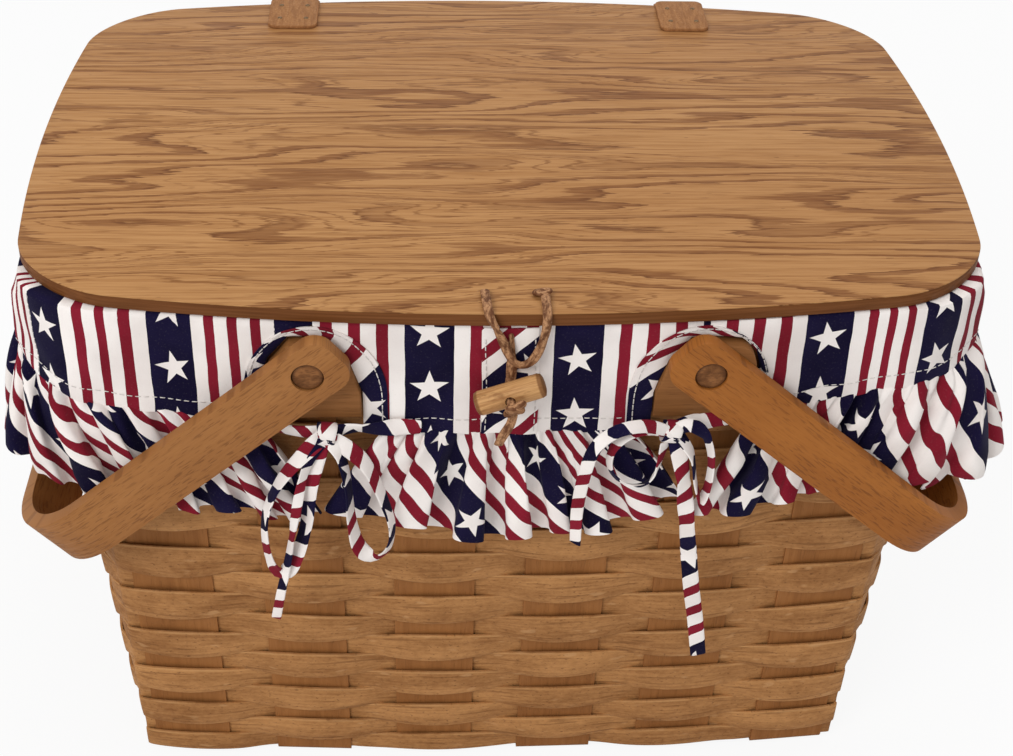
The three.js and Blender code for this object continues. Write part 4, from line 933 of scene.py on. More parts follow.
def board(name, outline, low, high, ease):
    """A filled outline in mm, extruded from low to high with eased upper and lower edges."""
    deselect()
    bpy.ops.mesh.primitive_circle_add(vertices=len(outline), radius=1, fill_type="NGON")
    piece = bpy.context.object
    piece.name = piece.data.name = name
    spots = np.column_stack([outline, np.full(len(outline), low)]) * MM
    order = np.argsort([math.atan2(v.co.y, v.co.x) % (2 * math.pi) for v in piece.data.vertices])
    for index, spot in zip(order, spots):
        piece.data.vertices[int(index)].co = spot
    rise = {"value": (0, 0, (high - low) * MM)}
    edit(piece, (bpy.ops.mesh.extrude_region_move, {"TRANSFORM_OT_translate": rise}),
         (bpy.ops.mesh.select_all, {"action": "SELECT"}), (bpy.ops.mesh.normals_make_consistent, {}))
    bevel(piece, ease)
    smooth(piece, 40)
    return piece


outline = lid_outline(420)
dress(board("lid_core_board", outline, 332.5, CORE_TOP, 0.8), lid_core, "lid", "lid_core_wood", "lid_board")
dress(board("lid_oak_face", outline, CORE_TOP, LID_TOP, 0.35), veneer, "lid", "lid_veneer_wood", "lid_veneer")
print("lid outline", len(outline), "points")

# %% [markdown]
# A tab over each hinge is a leather leaf nailed on the lid, and a second leaf
# turns down behind the lid on to the rim. The upper leaf has round corners.
# %% Hinge leaves and nails
LEAF_HALF_WIDTH, LEAF_HALF_LENGTH, LEAF_CORNER, LEAF_MIDDLE, LEAF_TOP = 15, 20, 5, 149.6, 342.3


def ball(place, radii, segments, rings):
    """A ball squashed to three radii, in mm."""
    deselect()
    bpy.ops.mesh.primitive_uv_sphere_add(segments=segments, ring_count=rings, radius=1)
    piece = bpy.context.object
    edit(piece, (bpy.ops.transform.resize, {"value": tuple(r * MM for r in radii)}),
         (bpy.ops.transform.translate, {"value": tuple(c * MM for c in place)}))
    return piece


def joined(name, pieces):
    deselect()
    for piece in pieces:
        piece.select_set(True)
    bpy.context.view_layer.objects.active = pieces[0]
    bpy.ops.object.join()
    pieces[0].name = pieces[0].data.name = name
    return pieces[0]


metal = Finish("nail_steel", Metallic=1.0)
spots_of_rust = metal.place().noise(1500, 3, 0.6)
metal.wear(metal.mix(spots_of_rust.smooth(0.4, 0.7), (120, 96, 70), (84, 62, 42)),
           spots_of_rust.smooth(0.3, 0.7, 0.35, 0.6))
for end, sign in ENDS:
    x = sign * HINGE_X
    shape = round_rect(LEAF_HALF_WIDTH, LEAF_HALF_LENGTH, LEAF_CORNER, 9, (x, LEAF_MIDDLE))
    leaf = board(f"hinge_tab_{end}", shape, LID_TOP, LEAF_TOP, 0.6)
    dress(leaf, strap_leather, "lid", "leather", f"hinge_leaf_lid_{end}")
    eased_copy(f"hinge_leaf_basket_{end}", f"hinge_back_{end}", 0.5, "basket_body", strap_leather, "leather")
    heads = [ball((x + dx, y, LEAF_TOP - 0.05), (1.5, 1.5, 0.7), 14, 8) for dx in (-8, 8) for y in (140, 158)]
    nails = joined(f"hinge_nails_{end}", heads)
    smooth(nails)
    dress(nails, metal.material, "lid", "leather")
print("two hinges with four nails each")

# %% [markdown]
# The liner's skirt hangs from under the lid to a seam, and leaves an arch free
# round every ear. The seam isn't level: it rises towards the corners, where
# the cloth is hitched up. The flat map of a skirt is the distance along the
# wall and the height, so the print stays upright however the panel is shaped.
# Only near the corners it is drawn together, as the hitched cloth is.
# %% Skirts
ARCH_X, ARCH_HALF, ARCH_FOOT, ARCH_RISE = 93.6, 33.2, 290.0, 38.0
SEAM_KNOTS = ([0, 60, 100, 137, 190, 220, 240, 262, 300, 400],
              [267.5, 267.5, 270, 272.5, 275, 278, 283, 289, 288, 288],
              [267.5, 267.5, 271.5, 277.5, 284, 287.5, 289.5, 291.5, 290, 290])


def lap_of(arc):
    """Distance from the middle of the front or back, whichever is nearer."""
    return np.abs((np.asarray(arc, float) + GIRTH / 4) % (GIRTH / 2) - GIRTH / 4)


def seam_height(arc):
    """Height of the seam between skirt and ruffle. It is a little lower on the left."""
    knots, left, right = SEAM_KNOTS
    on_left = np.sin(2 * math.pi * np.asarray(arc, float) / GIRTH) < 0
    return np.where(on_left, np.interp(lap_of(arc), knots, left), np.interp(lap_of(arc), knots, right))


def arch_half(z):
    share = ramp(z, ARCH_FOOT, ARCH_FOOT + ARCH_RISE)
    return ARCH_HALF * np.sqrt(1 - share**2)


PANELS = ("front", "right", "back", "left")
places_x = np.arange(-160, 161, 0.5).round(1)
arcs_at = {back: np.array([float(arc_of(position_at(x, back))) for x in places_x]) for back in (False, True)}


def arc_near(x, back=False):
    return np.interp(x, places_x, arcs_at[bool(back)])


def panel_ends(panel, gap):
    """Arcs of a panel's two ends, for arches of that half width."""
    gap = np.asarray(gap, float)
    if panel == "front":
        return arc_near(gap - ARCH_X), arc_near(ARCH_X - gap)
    if panel == "back":
        return arc_near(ARCH_X - gap, True), arc_near(gap - ARCH_X, True)
    if panel == "right":
        return arc_near(ARCH_X + gap), arc_near(ARCH_X + gap, True)
    return arc_near(-ARCH_X - gap, True), arc_near(-ARCH_X - gap) + GIRTH


def skirt_out(arc, z):
    """The skirt's distance from the wall: snug over the band, loose lower down, tucked in on top."""
    drop = ramp(z, LIP_TOP, LIP_TOP - 64)
    tuck = ramp(z, 323, 331)
    rumple = wander(41, arc, (19, 31, 47, 64), 0.6) + wander(42, arc + z * 0.9, (27, 39, 58), 0.4)
    at_end = ramp(lap_of(arc), 240, 248)
    gathers = 1.6 * np.abs(np.sin(arc / 3.9 + 1.7 * np.sin(arc / 23))) + 0.9 * np.sin(arc / 8.3 + z * 0.02)
    bulge = 4.0 * np.sin(np.clip(drop * 1.1, 0, 1) * math.pi)
    slack = at_end * (gathers + bulge) * ramp(z, 331, 322)
    return 8.4 + 4.2 * drop**1.7 + rumple * np.clip(drop * 1.6, 0, 1) - tuck**2 * 0.8 + slack


def skirt_place(arc, height):
    """Up the outside of the band, and then inwards over the rim, where height goes on as length."""
    over = np.clip(height - LIP_TOP, 0, None)
    z = np.minimum(height, LIP_TOP) + 0.3 * ramp(over, 0, 3)
    return wall(at_arc(arc), z, skirt_out(arc, np.minimum(height, LIP_TOP)) - over)


PANEL_PHASE = {"front": 33.0, "left": -162.0 + GIRTH, "right": 156.0, "back": GIRTH / 2}
STAR_SHIFT = {"left": 10.2, "right": -6.6}
CORNER_SEAM = 233.4  # mm round the wall from the front's middle
CLOTH_THICK = 0.9


def cloth(piece, slot, *nodes):
    """Gives a grid of cloth its thickness, and dresses it in the print."""
    apply(piece, "SOLIDIFY", thickness=CLOTH_THICK * MM, offset=0)
    smooth(piece, 60)
    return dress(piece, cotton, "basket_body", slot, *nodes)


skirts = {}
for panel in PANELS:
    foot = [float(v) for v in panel_ends(panel, ARCH_HALF)]

    def skirt_spot(a, b, panel=panel, foot=foot):
        z = lerp(seam_height(lerp(foot[0], foot[1], a)), LIP_TOP + 12, b)
        ends = panel_ends(panel, arch_half(z))
        return lerp(ends[0], ends[1], a), z

    def skirt_points(a, b):
        arc, z = skirt_spot(a, b)
        return skirt_place(arc, z)

    def skirt_flat(a, b, panel=panel):
        arc, z = skirt_spot(a, b)
        lap, front_half = lap_of(arc), np.cos(2 * math.pi * arc / GIRTH) > 0
        eased = 0.0
        if panel == "left":
            eased = 0.28 * np.clip(lap - 190, 0, 56) - 0.2 * np.clip(163 - lap, 0, 50)
            eased = eased + 1.5 * np.clip(lap - CORNER_SEAM - 1.5, 0, 15) * front_half
        elif panel == "right":
            eased = 0.42 * np.clip(lap - 178, 0, 33) + 0.25 * np.clip(lap - 211, 0, 25)
        eased = eased * np.where(front_half, 1.0, -1.0) * (1 if panel == "right" else -1)
        return (arc + eased - PANEL_PHASE[panel] + 33.0) * MM, (z + STAR_SHIFT.get(panel, 0)) * MM

    columns = 150 if panel in ("front", "back") else 520
    skirts[panel] = strip(f"skirt_panel_{panel}", columns, 32, skirt_points, skirt_flat)
    cloth(skirts[panel], "skirt_cloth", f"skirt_{panel}")
print("skirt panels, seam from", min(SEAM_KNOTS[1]), "to", max(SEAM_KNOTS[2]), "mm")

# %% [markdown]
# Under each seam a ruffle is gathered. Its cloth is longer than the seam, so it
# stands off and folds: small puckers at the top, and below them broad folds of
# chance widths, whose sides lean over like the letter omega. The print was cut
# on the bias, so its stripes run down to the right.
# %% Ruffles
# How far the hem spreads at each end, the folds' widths, how fast they open, and the tucks' size.
SHORT_RUFFLE, LONG_RUFFLE = (30.0, (18, 38), 0.7, 1.3), (34.0, (14, 27), 0.55, 2.6)
RUFFLE_DEPTH, STAND_OFF = 62.0, 22.0
STAND_AT_CORNER = {"left": 32.0, "right": 36.0}


def fold_line(length, low, high, seed):
    """Folds of chance widths along a length, as a phase, a strength and a width for every share."""
    chance = np.random.default_rng(seed)
    widths = []
    while sum(widths) < length:
        widths.append(chance.uniform(low, high))
    edges = np.concatenate([[0], np.cumsum(widths)]) / sum(widths)
    strength = chance.uniform(0.65, 1.2, len(edges))
    middle = (edges[1:] + edges[:-1]) / 2

    def read(a):
        phase = 2 * math.pi * np.interp(a, edges, np.arange(len(edges)))
        return phase, np.interp(a, edges, strength), np.interp(a, middle, widths)
    return read


def ruffle(panel, seed):
    short = panel in ("front", "back")  # between two arches, and not round two corners
    top = [float(v) for v in panel_ends(panel, ARCH_HALF)]
    spread, fold_widths, opening, tuck_size = SHORT_RUFFLE if short else LONG_RUFFLE
    hem = (top[0] - spread, top[1] + spread)
    folds = fold_line(hem[1] - hem[0], *fold_widths, seed)
    pleats = fold_line(top[1] - top[0], 5, 11, seed + 1)
    tucks = fold_line(top[1] - top[0], 9, 18, seed + 2)
    flare_at = float(arc_near(150)) + 88

    def place(a, b):
        """b goes from the seam (0) to the hem (1), where the cloth is wider than the seam."""
        phase, strength, width = folds(a)
        pleat, pleat_strength, _ = pleats(a)
        arc = lerp(lerp(top[0], top[1], a), lerp(hem[0], hem[1], a), b**0.85)
        seam = seam_height(lerp(top[0], top[1], a))
        at_end = ramp(lap_of(arc), 225, 265)
        flare = np.exp(-(((arc - flare_at) / 34) ** 2)) if panel == "right" else 0.0
        edge = np.abs(2 * a - 1)
        length = RUFFLE_DEPTH + 7.0 * at_end + 7.5 * flare
        if short:
            length = length + 2 - 21 * edge**2.2
        else:
            length = length - (5 if panel == "left" else 1) * (1 - at_end)
        wave = np.sin(phase)
        swell = b**opening
        pinch = (1 - b) ** 1.4
        start = skirt_out(arc, seam) - 0.6
        stand = lerp(STAND_OFF, STAND_AT_CORNER.get(panel, STAND_OFF), at_end) + 12.0 * flare
        out = start + (stand - start) * b ** lerp(0.62, 0.85, at_end)
        out = out + wave * strength * lerp(0.6, lerp(7.0, 8.6, at_end), swell)
        out = out + np.sin(pleat) * 2.1 * pleat_strength * pinch * np.clip(b * 14, 0.3, 1)
        tuck, tuck_strength, tuck_width = tucks(a)
        fading = np.sin(ramp(b, 0, 0.8) * math.pi) ** 0.8
        out = out + np.sin(tuck) * tuck_strength * fading * tuck_size
        shift = -np.sin(2 * phase) * width * 0.118 * swell + np.sin(phase) * width * 0.06 * swell
        shift = shift - np.sin(2 * tuck) * tuck_width * 0.09 * fading
        z = seam + 1.0 - length * b * (1 - 0.05 * wave * strength) + 2.4 * b * np.sin(phase * 0.37 + seed)
        z = z - 0.8 * np.sin(pleat) * pinch * b
        points = wall(at_arc(arc + shift), z, out)
        return settle_on_hoop(points)

    def settle_on_hoop(points):
        """Cloth beside a lowered handle lies on its bow and hangs inside its legs."""
        resting, bow_from, bow_to = 202.8, 214, 272  # height of the bow's edge, and where it lies outwards
        x, y, z = points.T
        reach, deep = np.abs(x), np.abs(y)
        # how far down the leg, how high above it, and where its inner face is
        down_leg = (reach - EAR_X) / math.cos(DROP)
        above = z - (PIVOT_Z - (reach - EAR_X) * math.tan(DROP))
        inner = 132 + np.sqrt(np.maximum(42.0**2 - np.clip(down_leg - 146, 0, 36) ** 2, 0)) - 3.0
        beside = ramp(above, 52, 26) * ramp(above, -40, -26)
        near = ramp(down_leg, 8, 28) * beside
        limited = np.where(deep > inner - 6, inner - 6 + 6 * np.tanh((deep - inner + 6) / 6), deep)
        deep = lerp(deep, limited, near)
        # the cloth stops on the bow, and curls back over its outer edge
        on_bow = ramp(reach, bow_from, bow_from + 14) * ramp(reach, bow_to, bow_to - 10)
        soft = np.where(z < resting + 2, resting + 2 * np.exp(np.minimum(z - resting - 2, 0) / 2), z)
        z = lerp(z, soft, on_bow)
        reach = np.where(reach > bow_to, bow_to + 7.5 * np.tanh((reach - bow_to) / 7.5), reach)
        return np.column_stack([np.sign(x) * reach, np.sign(y) * deep, z])

    dense = np.linspace(0, 1, 3000)
    line = place(dense, np.full_like(dense, 0.7))
    run = run_of(line)

    def flat(a, b):
        return cut_at(-42, np.interp(a, dense, run) + 17.0 * seed, -66.0 * b)

    columns = int((hem[1] - hem[0]) * 1.9)
    piece = strip(f"gathered_ruffle_{panel}", columns, 26, place, flat)
    cloth(piece, "ruffle_cloth", f"ruffle_{panel}")


for seed, panel in enumerate(PANELS):
    ruffle(panel, 5 + 3 * seed)

# %% [markdown]
# Sewn edges make cloth look like cloth. A stitch is a short rounded rod of a
# few faces, and a seam is a row of them in one mesh. The skirts are stitched
# above their ruffles, and one seam runs down the front left corner.
# %% Stitches
STITCH_RADIUS = 0.28


def stitches(name, line, lift, length=2.7, gap=1.3):
    """Short rods of four rings along a line of points in mm, each lifted off the cloth by its own vector."""
    line, lift = np.asarray(line, float), unit(np.asarray(lift, float))
    run = run_of(line)
    starts = np.arange(1, run[-1] - length, length + gap)

    def at(d):
        return (np.column_stack([np.interp(d, run, line[:, k]) for k in range(3)]),
                unit(np.column_stack([np.interp(d, run, lift[:, k]) for k in range(3)])))

    points, faces = [], []
    for start in starts:
        spots, ups = at(np.array([start, start + 0.25, start + length - 0.25, start + length]))
        way = unit(spots[-1] - spots[0])
        across = unit(np.cross(ups, way))
        first = len(points)
        for k, size in enumerate((0.35, 1.0, 1.0, 0.35)):
            for turn in np.arange(6) * math.pi / 3:
                round_it = across[k] * math.cos(turn) + ups[k] * math.sin(turn) * 0.8
                lifted = ups[k] * (0.15 if k in (1, 2) else -0.1)
                points.append(spots[k] + round_it * STITCH_RADIUS * size + lifted)
        for k in range(3):
            for j in range(6):
                a, b = first + k * 6 + j, first + k * 6 + (j + 1) % 6
                faces.append((a, b, b + 6, a + 6))
        faces.append(tuple(first + j for j in reversed(range(6))))
        faces.append(tuple(first + 18 + j for j in range(6)))
    mesh = bpy.data.meshes.new(name)
    mesh.from_pydata([tuple(p * MM) for p in points], [], faces)
    piece = bpy.data.objects.new(name, mesh)
    bpy.context.collection.objects.link(piece)
    edit(piece, (bpy.ops.mesh.normals_make_consistent, {}))
    smooth(piece, 60)
    dress(piece, thread, "basket_body", "skirt_cloth")


def outwards(arc):
    normal = wall_normal(at_arc(arc))
    return np.column_stack([normal, np.zeros(len(normal))])


for panel in PANELS:
    foot = [float(v) for v in panel_ends(panel, ARCH_HALF + 2)]
    arc = np.linspace(foot[0], foot[1], 900)
    height = seam_height(arc) + 8.5
    face_out = skirt_out(arc, height) + 0.55
    stitches(f"topstitch_{panel}", wall(at_arc(arc), height, face_out), outwards(arc))
seam_arc = np.full(200, GIRTH - CORNER_SEAM)
height = np.linspace(float(seam_height(seam_arc[:1])[0]) + 1, LIP_TOP - 1, 200)
seam_line = wall(at_arc(seam_arc), height, skirt_out(seam_arc, height) + 0.55)
stitches("corner_seam", seam_line, outwards(seam_arc), gap=0.7)
print("topstitching on four skirts, and a seam down the front left corner")

# %% [markdown]
# The arch round each ear is bound with a broad bias strip. Its outer edge is
# turned under and stitched down on the skirt, and its inner edge is pushed
# against the ear, so it fills all the room between the two.
# %% Arch bindings
def outer_arch(share):
    """x from the ear's middle, and height, along the binding's outer edge from left to right."""
    half, rise, foot = ARCH_HALF + 1.6, ARCH_RISE + 1.2, 271.0
    straight, curve = ARCH_FOOT - foot, math.pi / 2 * (half + rise)
    total = 2 * straight + curve
    d = np.asarray(share) * total
    turn = ramp(d, straight, straight + curve) * math.pi
    z = ARCH_FOOT + rise * np.sin(turn)
    z = np.where(d < straight, foot + d, np.where(d > total - straight, foot + total - d, z))
    return -half * np.cos(turn), z, total


SLANTED = [(25.9, 271), (25.9, 291), (19.6, 310.5), (9.2, 323.4), (0, 323.6)]
SQUARE = [(25.9, 271), (25.9, 306), (23.2, 316), (17, 322), (0, 323.6)]


def inner_arch(share, left_side, right_side):
    """The same along the ear's outline, given by the two forms of its sides."""
    line = [(-x, z) for x, z in left_side] + right_side[-2::-1]
    spots = np.linspace(0, 1, len(line))
    return np.interp(share, spots, [p[0] for p in line]), np.interp(share, spots, [p[1] for p in line])


def binding(end, sign, back):
    face = "back" if back else "front"
    mirror = -1 if back else 1

    def spot(share, width, lift):
        x0, z0, _ = outer_arch(share)
        outer_side = SLANTED if end == "left" else SQUARE
        x1, z1 = inner_arch(share, *((SLANTED, outer_side) if sign * mirror > 0 else (outer_side, SLANTED)))
        x, z = lerp(sign * ARCH_X + mirror * x0, sign * EAR_X + mirror * x1, width), lerp(z0, z1, width)
        arc = arc_near(x, back)
        return wall(at_arc(arc), z, skirt_out(arc, z) + lift), arc

    def place(a, b):
        share = 1 - a
        puff = np.sin(np.clip(b * 3, 0, 1) * math.pi / 2)
        crease = 0.45 * np.sin(share * 31 + sign) * b + 0.3 * np.sin(share * 67 + 2 * sign) * b
        return spot(share, 1 - b, 0.2 + 0.9 * puff + crease * np.sin(b * math.pi))[0]

    def flat(a, b):
        own = (1.2 if sign < 0 else 19.6) + 30 * back
        return cut_at(-45, (1 - a) * outer_arch(0)[2], b * 12.0, (own, 0))

    trims[face].append(cloth(strip(f"arch_binding_{end}_{face}", 120, 8, place, flat), "skirt_cloth"))
    line, arc = spot(np.linspace(0.01, 0.99, 400), 0.22, 1.75)
    stitches(f"binding_stitch_{end}_{face}", line, outwards(arc), length=3.2, gap=0.6)


trims = {"front": [], "back": []}
for end, sign in ENDS:
    for back in (False, True):
        binding(end, sign, back)
print("four bound arches")

# %% [markdown]
# In the middle of the front a facing strip carries the slit that the thong
# comes out of. It lies on the skirt, with stitches down both sides.
# %% Facing and slit
def on_skirt(x, z, lift):
    arc = arc_near(x)
    return wall(at_arc(arc), z, skirt_out(arc, z) + lift), arc


def facing_place(a, b):
    x = lerp(-13.0, 14.0, a) + 0.6 * np.sin(b * 5)
    z = lerp(268.0, 330.4, b)
    return on_skirt(x, z, 0.85 + 0.3 * np.sin(a * math.pi))[0]


def facing_flat(a, b):
    return cut_at(46, a * 27, b * 62, (44, 4))


trims["front"].append(cloth(strip("slit_facing", 14, 24, facing_place, facing_flat), "skirt_cloth"))
for number, x in enumerate((-11.2, 12.4)):
    z = np.linspace(269, 328, 120)
    line, arc = on_skirt(np.full_like(z, x) + 0.6 * np.sin((z - 268) / 62.4 * 5), z, 1.6)
    stitches(f"facing_stitch_{number + 1}", line, outwards(arc))
for panel, skirt in skirts.items():
    foot = panel_ends(panel, ARCH_HALF)
    round(float(foot[1] - foot[0] + 30) * MM, 3)

# %% [markdown]
# The cloth bag inside is one cup of the same print. Its mouth is turned over
# the rim, under the lid, and its sides fall in soft folds to a flat floor. Two
# notches in the mouth make room for the hinge leaves.
# %% Liner bag
BAG_LIP, BAG_WALL = 0.08, 0.62  # the shares across the cup where its lip and its wall end
BAG_TOP, BAG_FLOOR = 330.5, 6.6


def bag_place(a, b):
    arc = a * GIRTH
    over = ramp(b, 0, BAG_LIP)
    down = ramp(b, BAG_LIP, BAG_WALL)
    inward = ramp(b, BAG_WALL, 1)
    z = np.where(b <= BAG_LIP, BAG_TOP, lerp(BAG_TOP, BAG_FLOOR, down))
    soft = np.sin(down * math.pi) ** 0.7
    fold = (wander(61, arc, (9, 14, 21, 33), 1.0) + wander(62, arc + 40 * down, (17, 26), 0.6)) * soft
    inside = -6.0 - 2.2 * soft + np.minimum(fold, 1.6) - 1.5 * down
    points = wall(at_arc(arc), z, np.where(b <= BAG_LIP, lerp(6.9, -6.0, over), inside))
    points[:, :2] *= (1 - inward)[:, None]
    points[:, 2] += np.sin(inward * math.pi) * 0.8
    return points


def bag_flat(a, b):
    points = bag_place(a, b)
    floor_part = b > BAG_WALL
    u = np.where(floor_part, points[:, 0], a * GIRTH)
    v = np.where(floor_part, points[:, 1], b * 600)
    return u * MM, v * MM


bag = strip("liner_bag_cloth", 480, 70, bag_place, bag_flat, merge=True)
apply(bag, "SOLIDIFY", thickness=0.0008, offset=0)
for _, sign in ENDS:
    deselect()
    bpy.ops.mesh.primitive_cube_add(size=1, location=(sign * 0.1165, 0.1615, 0.3295))
    notch = bpy.context.object
    edit(notch, (bpy.ops.transform.resize, {"value": (0.046, 0.025, 0.0036)}))
    cut_out(bag, notch)
smooth(bag, 60)
dress(bag, cotton, "basket_body", "liner_cloth", "liner_bag")

# %% [markdown]
# Tapes and laces are swept: a rounded section is carried along a smooth route,
# and turned a little on the way. The section closes on itself, and shrinks to
# a point at both ends, so that the mesh is shut.
# %% Sweeps
def sweep(name, route, width, thick, flat_side, steps, tip, around=12, twist=None, square=0.75,
          turn=0, start=0, narrow=(1, 1)):
    """A tape or lace along a route in mm.

    flat_side is the way its broad face looks, twist turns it about the route by degrees, tip is the length
    that is rounded at its ends, and square tells an oval section (1) from a boxy one (0).
    """
    route = np.asarray(route, float)
    line = catmull(route, np.linspace(0, len(route) - 1, 600))
    run = run_of(line)
    length = run[-1]
    face = np.atleast_2d(np.asarray(flat_side, float))
    face = catmull(face, np.linspace(0, len(face) - 1, 600)) if len(face) > 1 else face
    way = unit(np.gradient(line, axis=0))
    normal = unit(face - (face * way).sum(axis=1, keepdims=True) * way)
    across = np.cross(way, normal)
    if twist is not None:
        angle = np.radians(np.interp(np.linspace(0, 1, 600), np.linspace(0, 1, len(twist)), twist))[:, None]
        c, s = np.cos(angle), np.sin(angle)
        normal, across = normal * c + across * s, across * c - normal * s

    def read(values, d):
        return np.column_stack([np.interp(d, run, values[:, k]) for k in range(3)])

    def distance(a):
        inset = np.minimum(a, 1 - a)
        share = 3.0 / steps
        d = np.where(inset < share, tip * (1 - np.cos(inset / share * math.pi / 2)),
                     tip + (length / 2 - tip) * (inset - share) / (0.5 - share))
        return np.where(a <= 0.5, d, length - d)

    def size(d):
        inset = ramp(np.minimum(d, length - d), 0, tip)
        return np.sqrt(np.maximum(1 - (1 - inset) ** 2, 0))

    def place(a, b):
        d = distance(a)
        angle = -b * 2 * math.pi
        c, s = np.cos(angle), np.sin(angle)
        slim = np.interp(d / length, np.linspace(0, 1, len(narrow)), narrow)
        w = np.sign(c) * np.abs(c) ** square * width / 2 * slim
        t = np.sign(s) * np.abs(s) ** square * thick / 2
        k = size(d)
        return read(line, d) + read(across, d) * (w * k)[:, None] + read(normal, d) * (t * k)[:, None]

    def flat(a, b):
        return cut_at(turn, distance(a) + start, np.cos(b * 2 * math.pi) * width / 2)

    piece = strip(name, steps, around, place, flat, merge=True)
    smooth(piece, 50)
    return piece, line, length


print("sweep helper ready")

# %% [markdown]
# Each bow is tied from a folded and sewn tape of the print: two strands that
# come from the edges of the arch, a knot, two loops, and one or two tails.
# Points are given across from the ear's middle, forward of its face and down
# from the rim.
# %% Tie bows
# For each end the knot's place, and the runs of tape: their points, their width,
# their twist in degrees and where on the print they start.
BOWS = {
    "left": ((7.5, 4.6, 57.5), [
        ([(8, 3.6, 57.5), (20, 2.4, 56), (33, 1.4, 57), (44, 0.8, 56.5), (54, 0.4, 57)],
         9, (0, 30, -20, 10), 23),
        ([(7, 3.4, 57.5), (-6, 1.4, 58.5), (-20, -1.6, 58), (-31, -3.6, 57), (-38, -5, 57)],
         9, (0, -30, 20), 55),
        ([(6.5, 5.2, 58), (-5, 9.5, 68), (-17, 11.5, 84), (-24.5, 13, 104), (-25, 13.5, 126),
          (-21, 13.5, 141), (-15, 13.5, 141), (-9, 13.2, 128), (-4, 12.6, 108), (-1, 10.6, 84), (5, 6.4, 62)],
         8.6, (0, 56, 76, 66, 50, -10, -40, -50, -30, 0), 71),
        ([(8, 5.4, 58), (14, 10, 66), (17.5, 13.4, 84), (18.5, 14.5, 104), (21.5, 15, 122), (28, 15, 130.5),
          (35.5, 15, 127), (39, 15, 113), (36, 14.4, 96), (26, 10.4, 72), (10.5, 6.4, 59)],
         8.4, (0, -66, -74, -60, -30, 40, 70, 74, 60, 0), 13),
        ([(6.5, 6.6, 60), (-3, 12, 74), (-9, 15.5, 100), (-14, 15.5, 130), (-19, 13.5, 155),
          (-23.5, 9.4, 180)], 5.2, (10, -40, 66, 30, 10), 37),
    ]),
    "right": ((-15.5, 4.6, 57), [
        ([(-14, 3.6, 57), (-24, 2.8, 57), (-35, 1.6, 58), (-44, 1, 58.5)], 7, (0, 20, -20), 5),
        ([(-16, 3.4, 57), (-5, 2.2, 53.5), (7, 0.6, 53), (21, -1.8, 55), (38, -4.9, 57)],
         8.6, (0, -35, 20, 10), 42),
        ([(-17.5, 5.8, 57), (-27, 10.6, 50.5), (-38, 13.2, 52), (-45.5, 14.4, 60.5), (-46, 14.6, 72),
          (-39.5, 14.4, 81.5), (-30, 14, 84), (-23, 12.4, 78), (-18.6, 7.4, 62)],
         6.2, (0, 52, 66, 74, 66, 52, 62, 72, 30), 61),
        ([(-14.5, 5.4, 56), (-7, 8.6, 50), (0, 11.6, 54), (4, 12.8, 66), (4.6, 13, 82), (2, 12.8, 95.5),
          (-2, 12.2, 84), (-5, 10.4, 68), (-12, 6.4, 58)], 7, (0, -50, 56, 74, 76, 78, 74, 40), 29),
        ([(-17, 7.4, 55), (-30, 13.5, 46.5), (-44, 16.2, 47.5), (-54, 16.6, 57), (-58.5, 16.4, 74),
          (-61, 16, 98), (-60.5, 13.6, 124)], 6.6, (0, 40, 52, 30, 10, 24, 40), 83),
        ([(-13.5, 6.8, 59), (-9, 12.6, 78), (-5.5, 13.6, 100), (-1.5, 13.2, 128), (2.8, 12.2, 156),
          (8, 10.4, 184), (12.7, 8.4, 213)], 8.6, (20, -40, 34, 0, 8, -4), 47),
    ]),
}


def bow(end, sign):
    knot, runs = BOWS[end]

    def real(point):
        across, ahead, down = point
        return (sign * EAR_X + across, -EAR_FACE - ahead, RIM_HEIGHT - down)

    parts, total = [], 0
    for number, (run, width, twist, start) in enumerate(runs):
        part, _, length = sweep(f"tape_{number}", [real(p) for p in run], width, 1.2, (0, -1, 0), 90, 0.6,
                                twist=twist, square=0.5, turn=32, start=start)
        total += length
        parts.append(part)
    cx, cy, cz = real(knot)
    t = np.linspace(0, 2 * math.pi, 14)
    for lean, wide, start in ((1.4, 8.5, 9), (-2.2, 5.0, 33)):
        ring = np.column_stack([cx + lean * np.sin(t), cy - 4.6 * np.cos(t), cz + 5.4 * np.sin(t)])
        around = np.column_stack([0.12 * np.sin(t), -np.cos(t), np.sin(t)])
        parts.append(sweep("tape_wrap", ring, wide, 1.5, around, 60, 0.5, turn=60, start=start)[0])
    parts.append(ball((cx, cy, cz), (5.0, 3.6, 4.6), 20, 12))
    bow_piece = joined(f"tied_bow_{end}", parts)
    smooth(bow_piece, 55)
    dress(bow_piece, cotton, "basket_body", "tie_cloth", f"tie_bow_{end}")
    print(end, "bow:", round(total), "mm of tape")


for end, sign in ENDS:
    bow(end, sign)

# %% [markdown]
# The toggle is a turned peg with chamfered ends and a hole across it. A lace
# comes out of the slit behind it, goes through the hole and is knotted. The
# lid's loop is a second lace, knotted above its two holes near the lid's edge.
# %% Toggle, thong and loop
TOGGLE_Y, TOGGLE_Z, TOGGLE_TILT = -181.65, 299.0, math.radians(20.5)
TOGGLE_RADIUS, TOGGLE_LENGTH = 6.1, 34.8


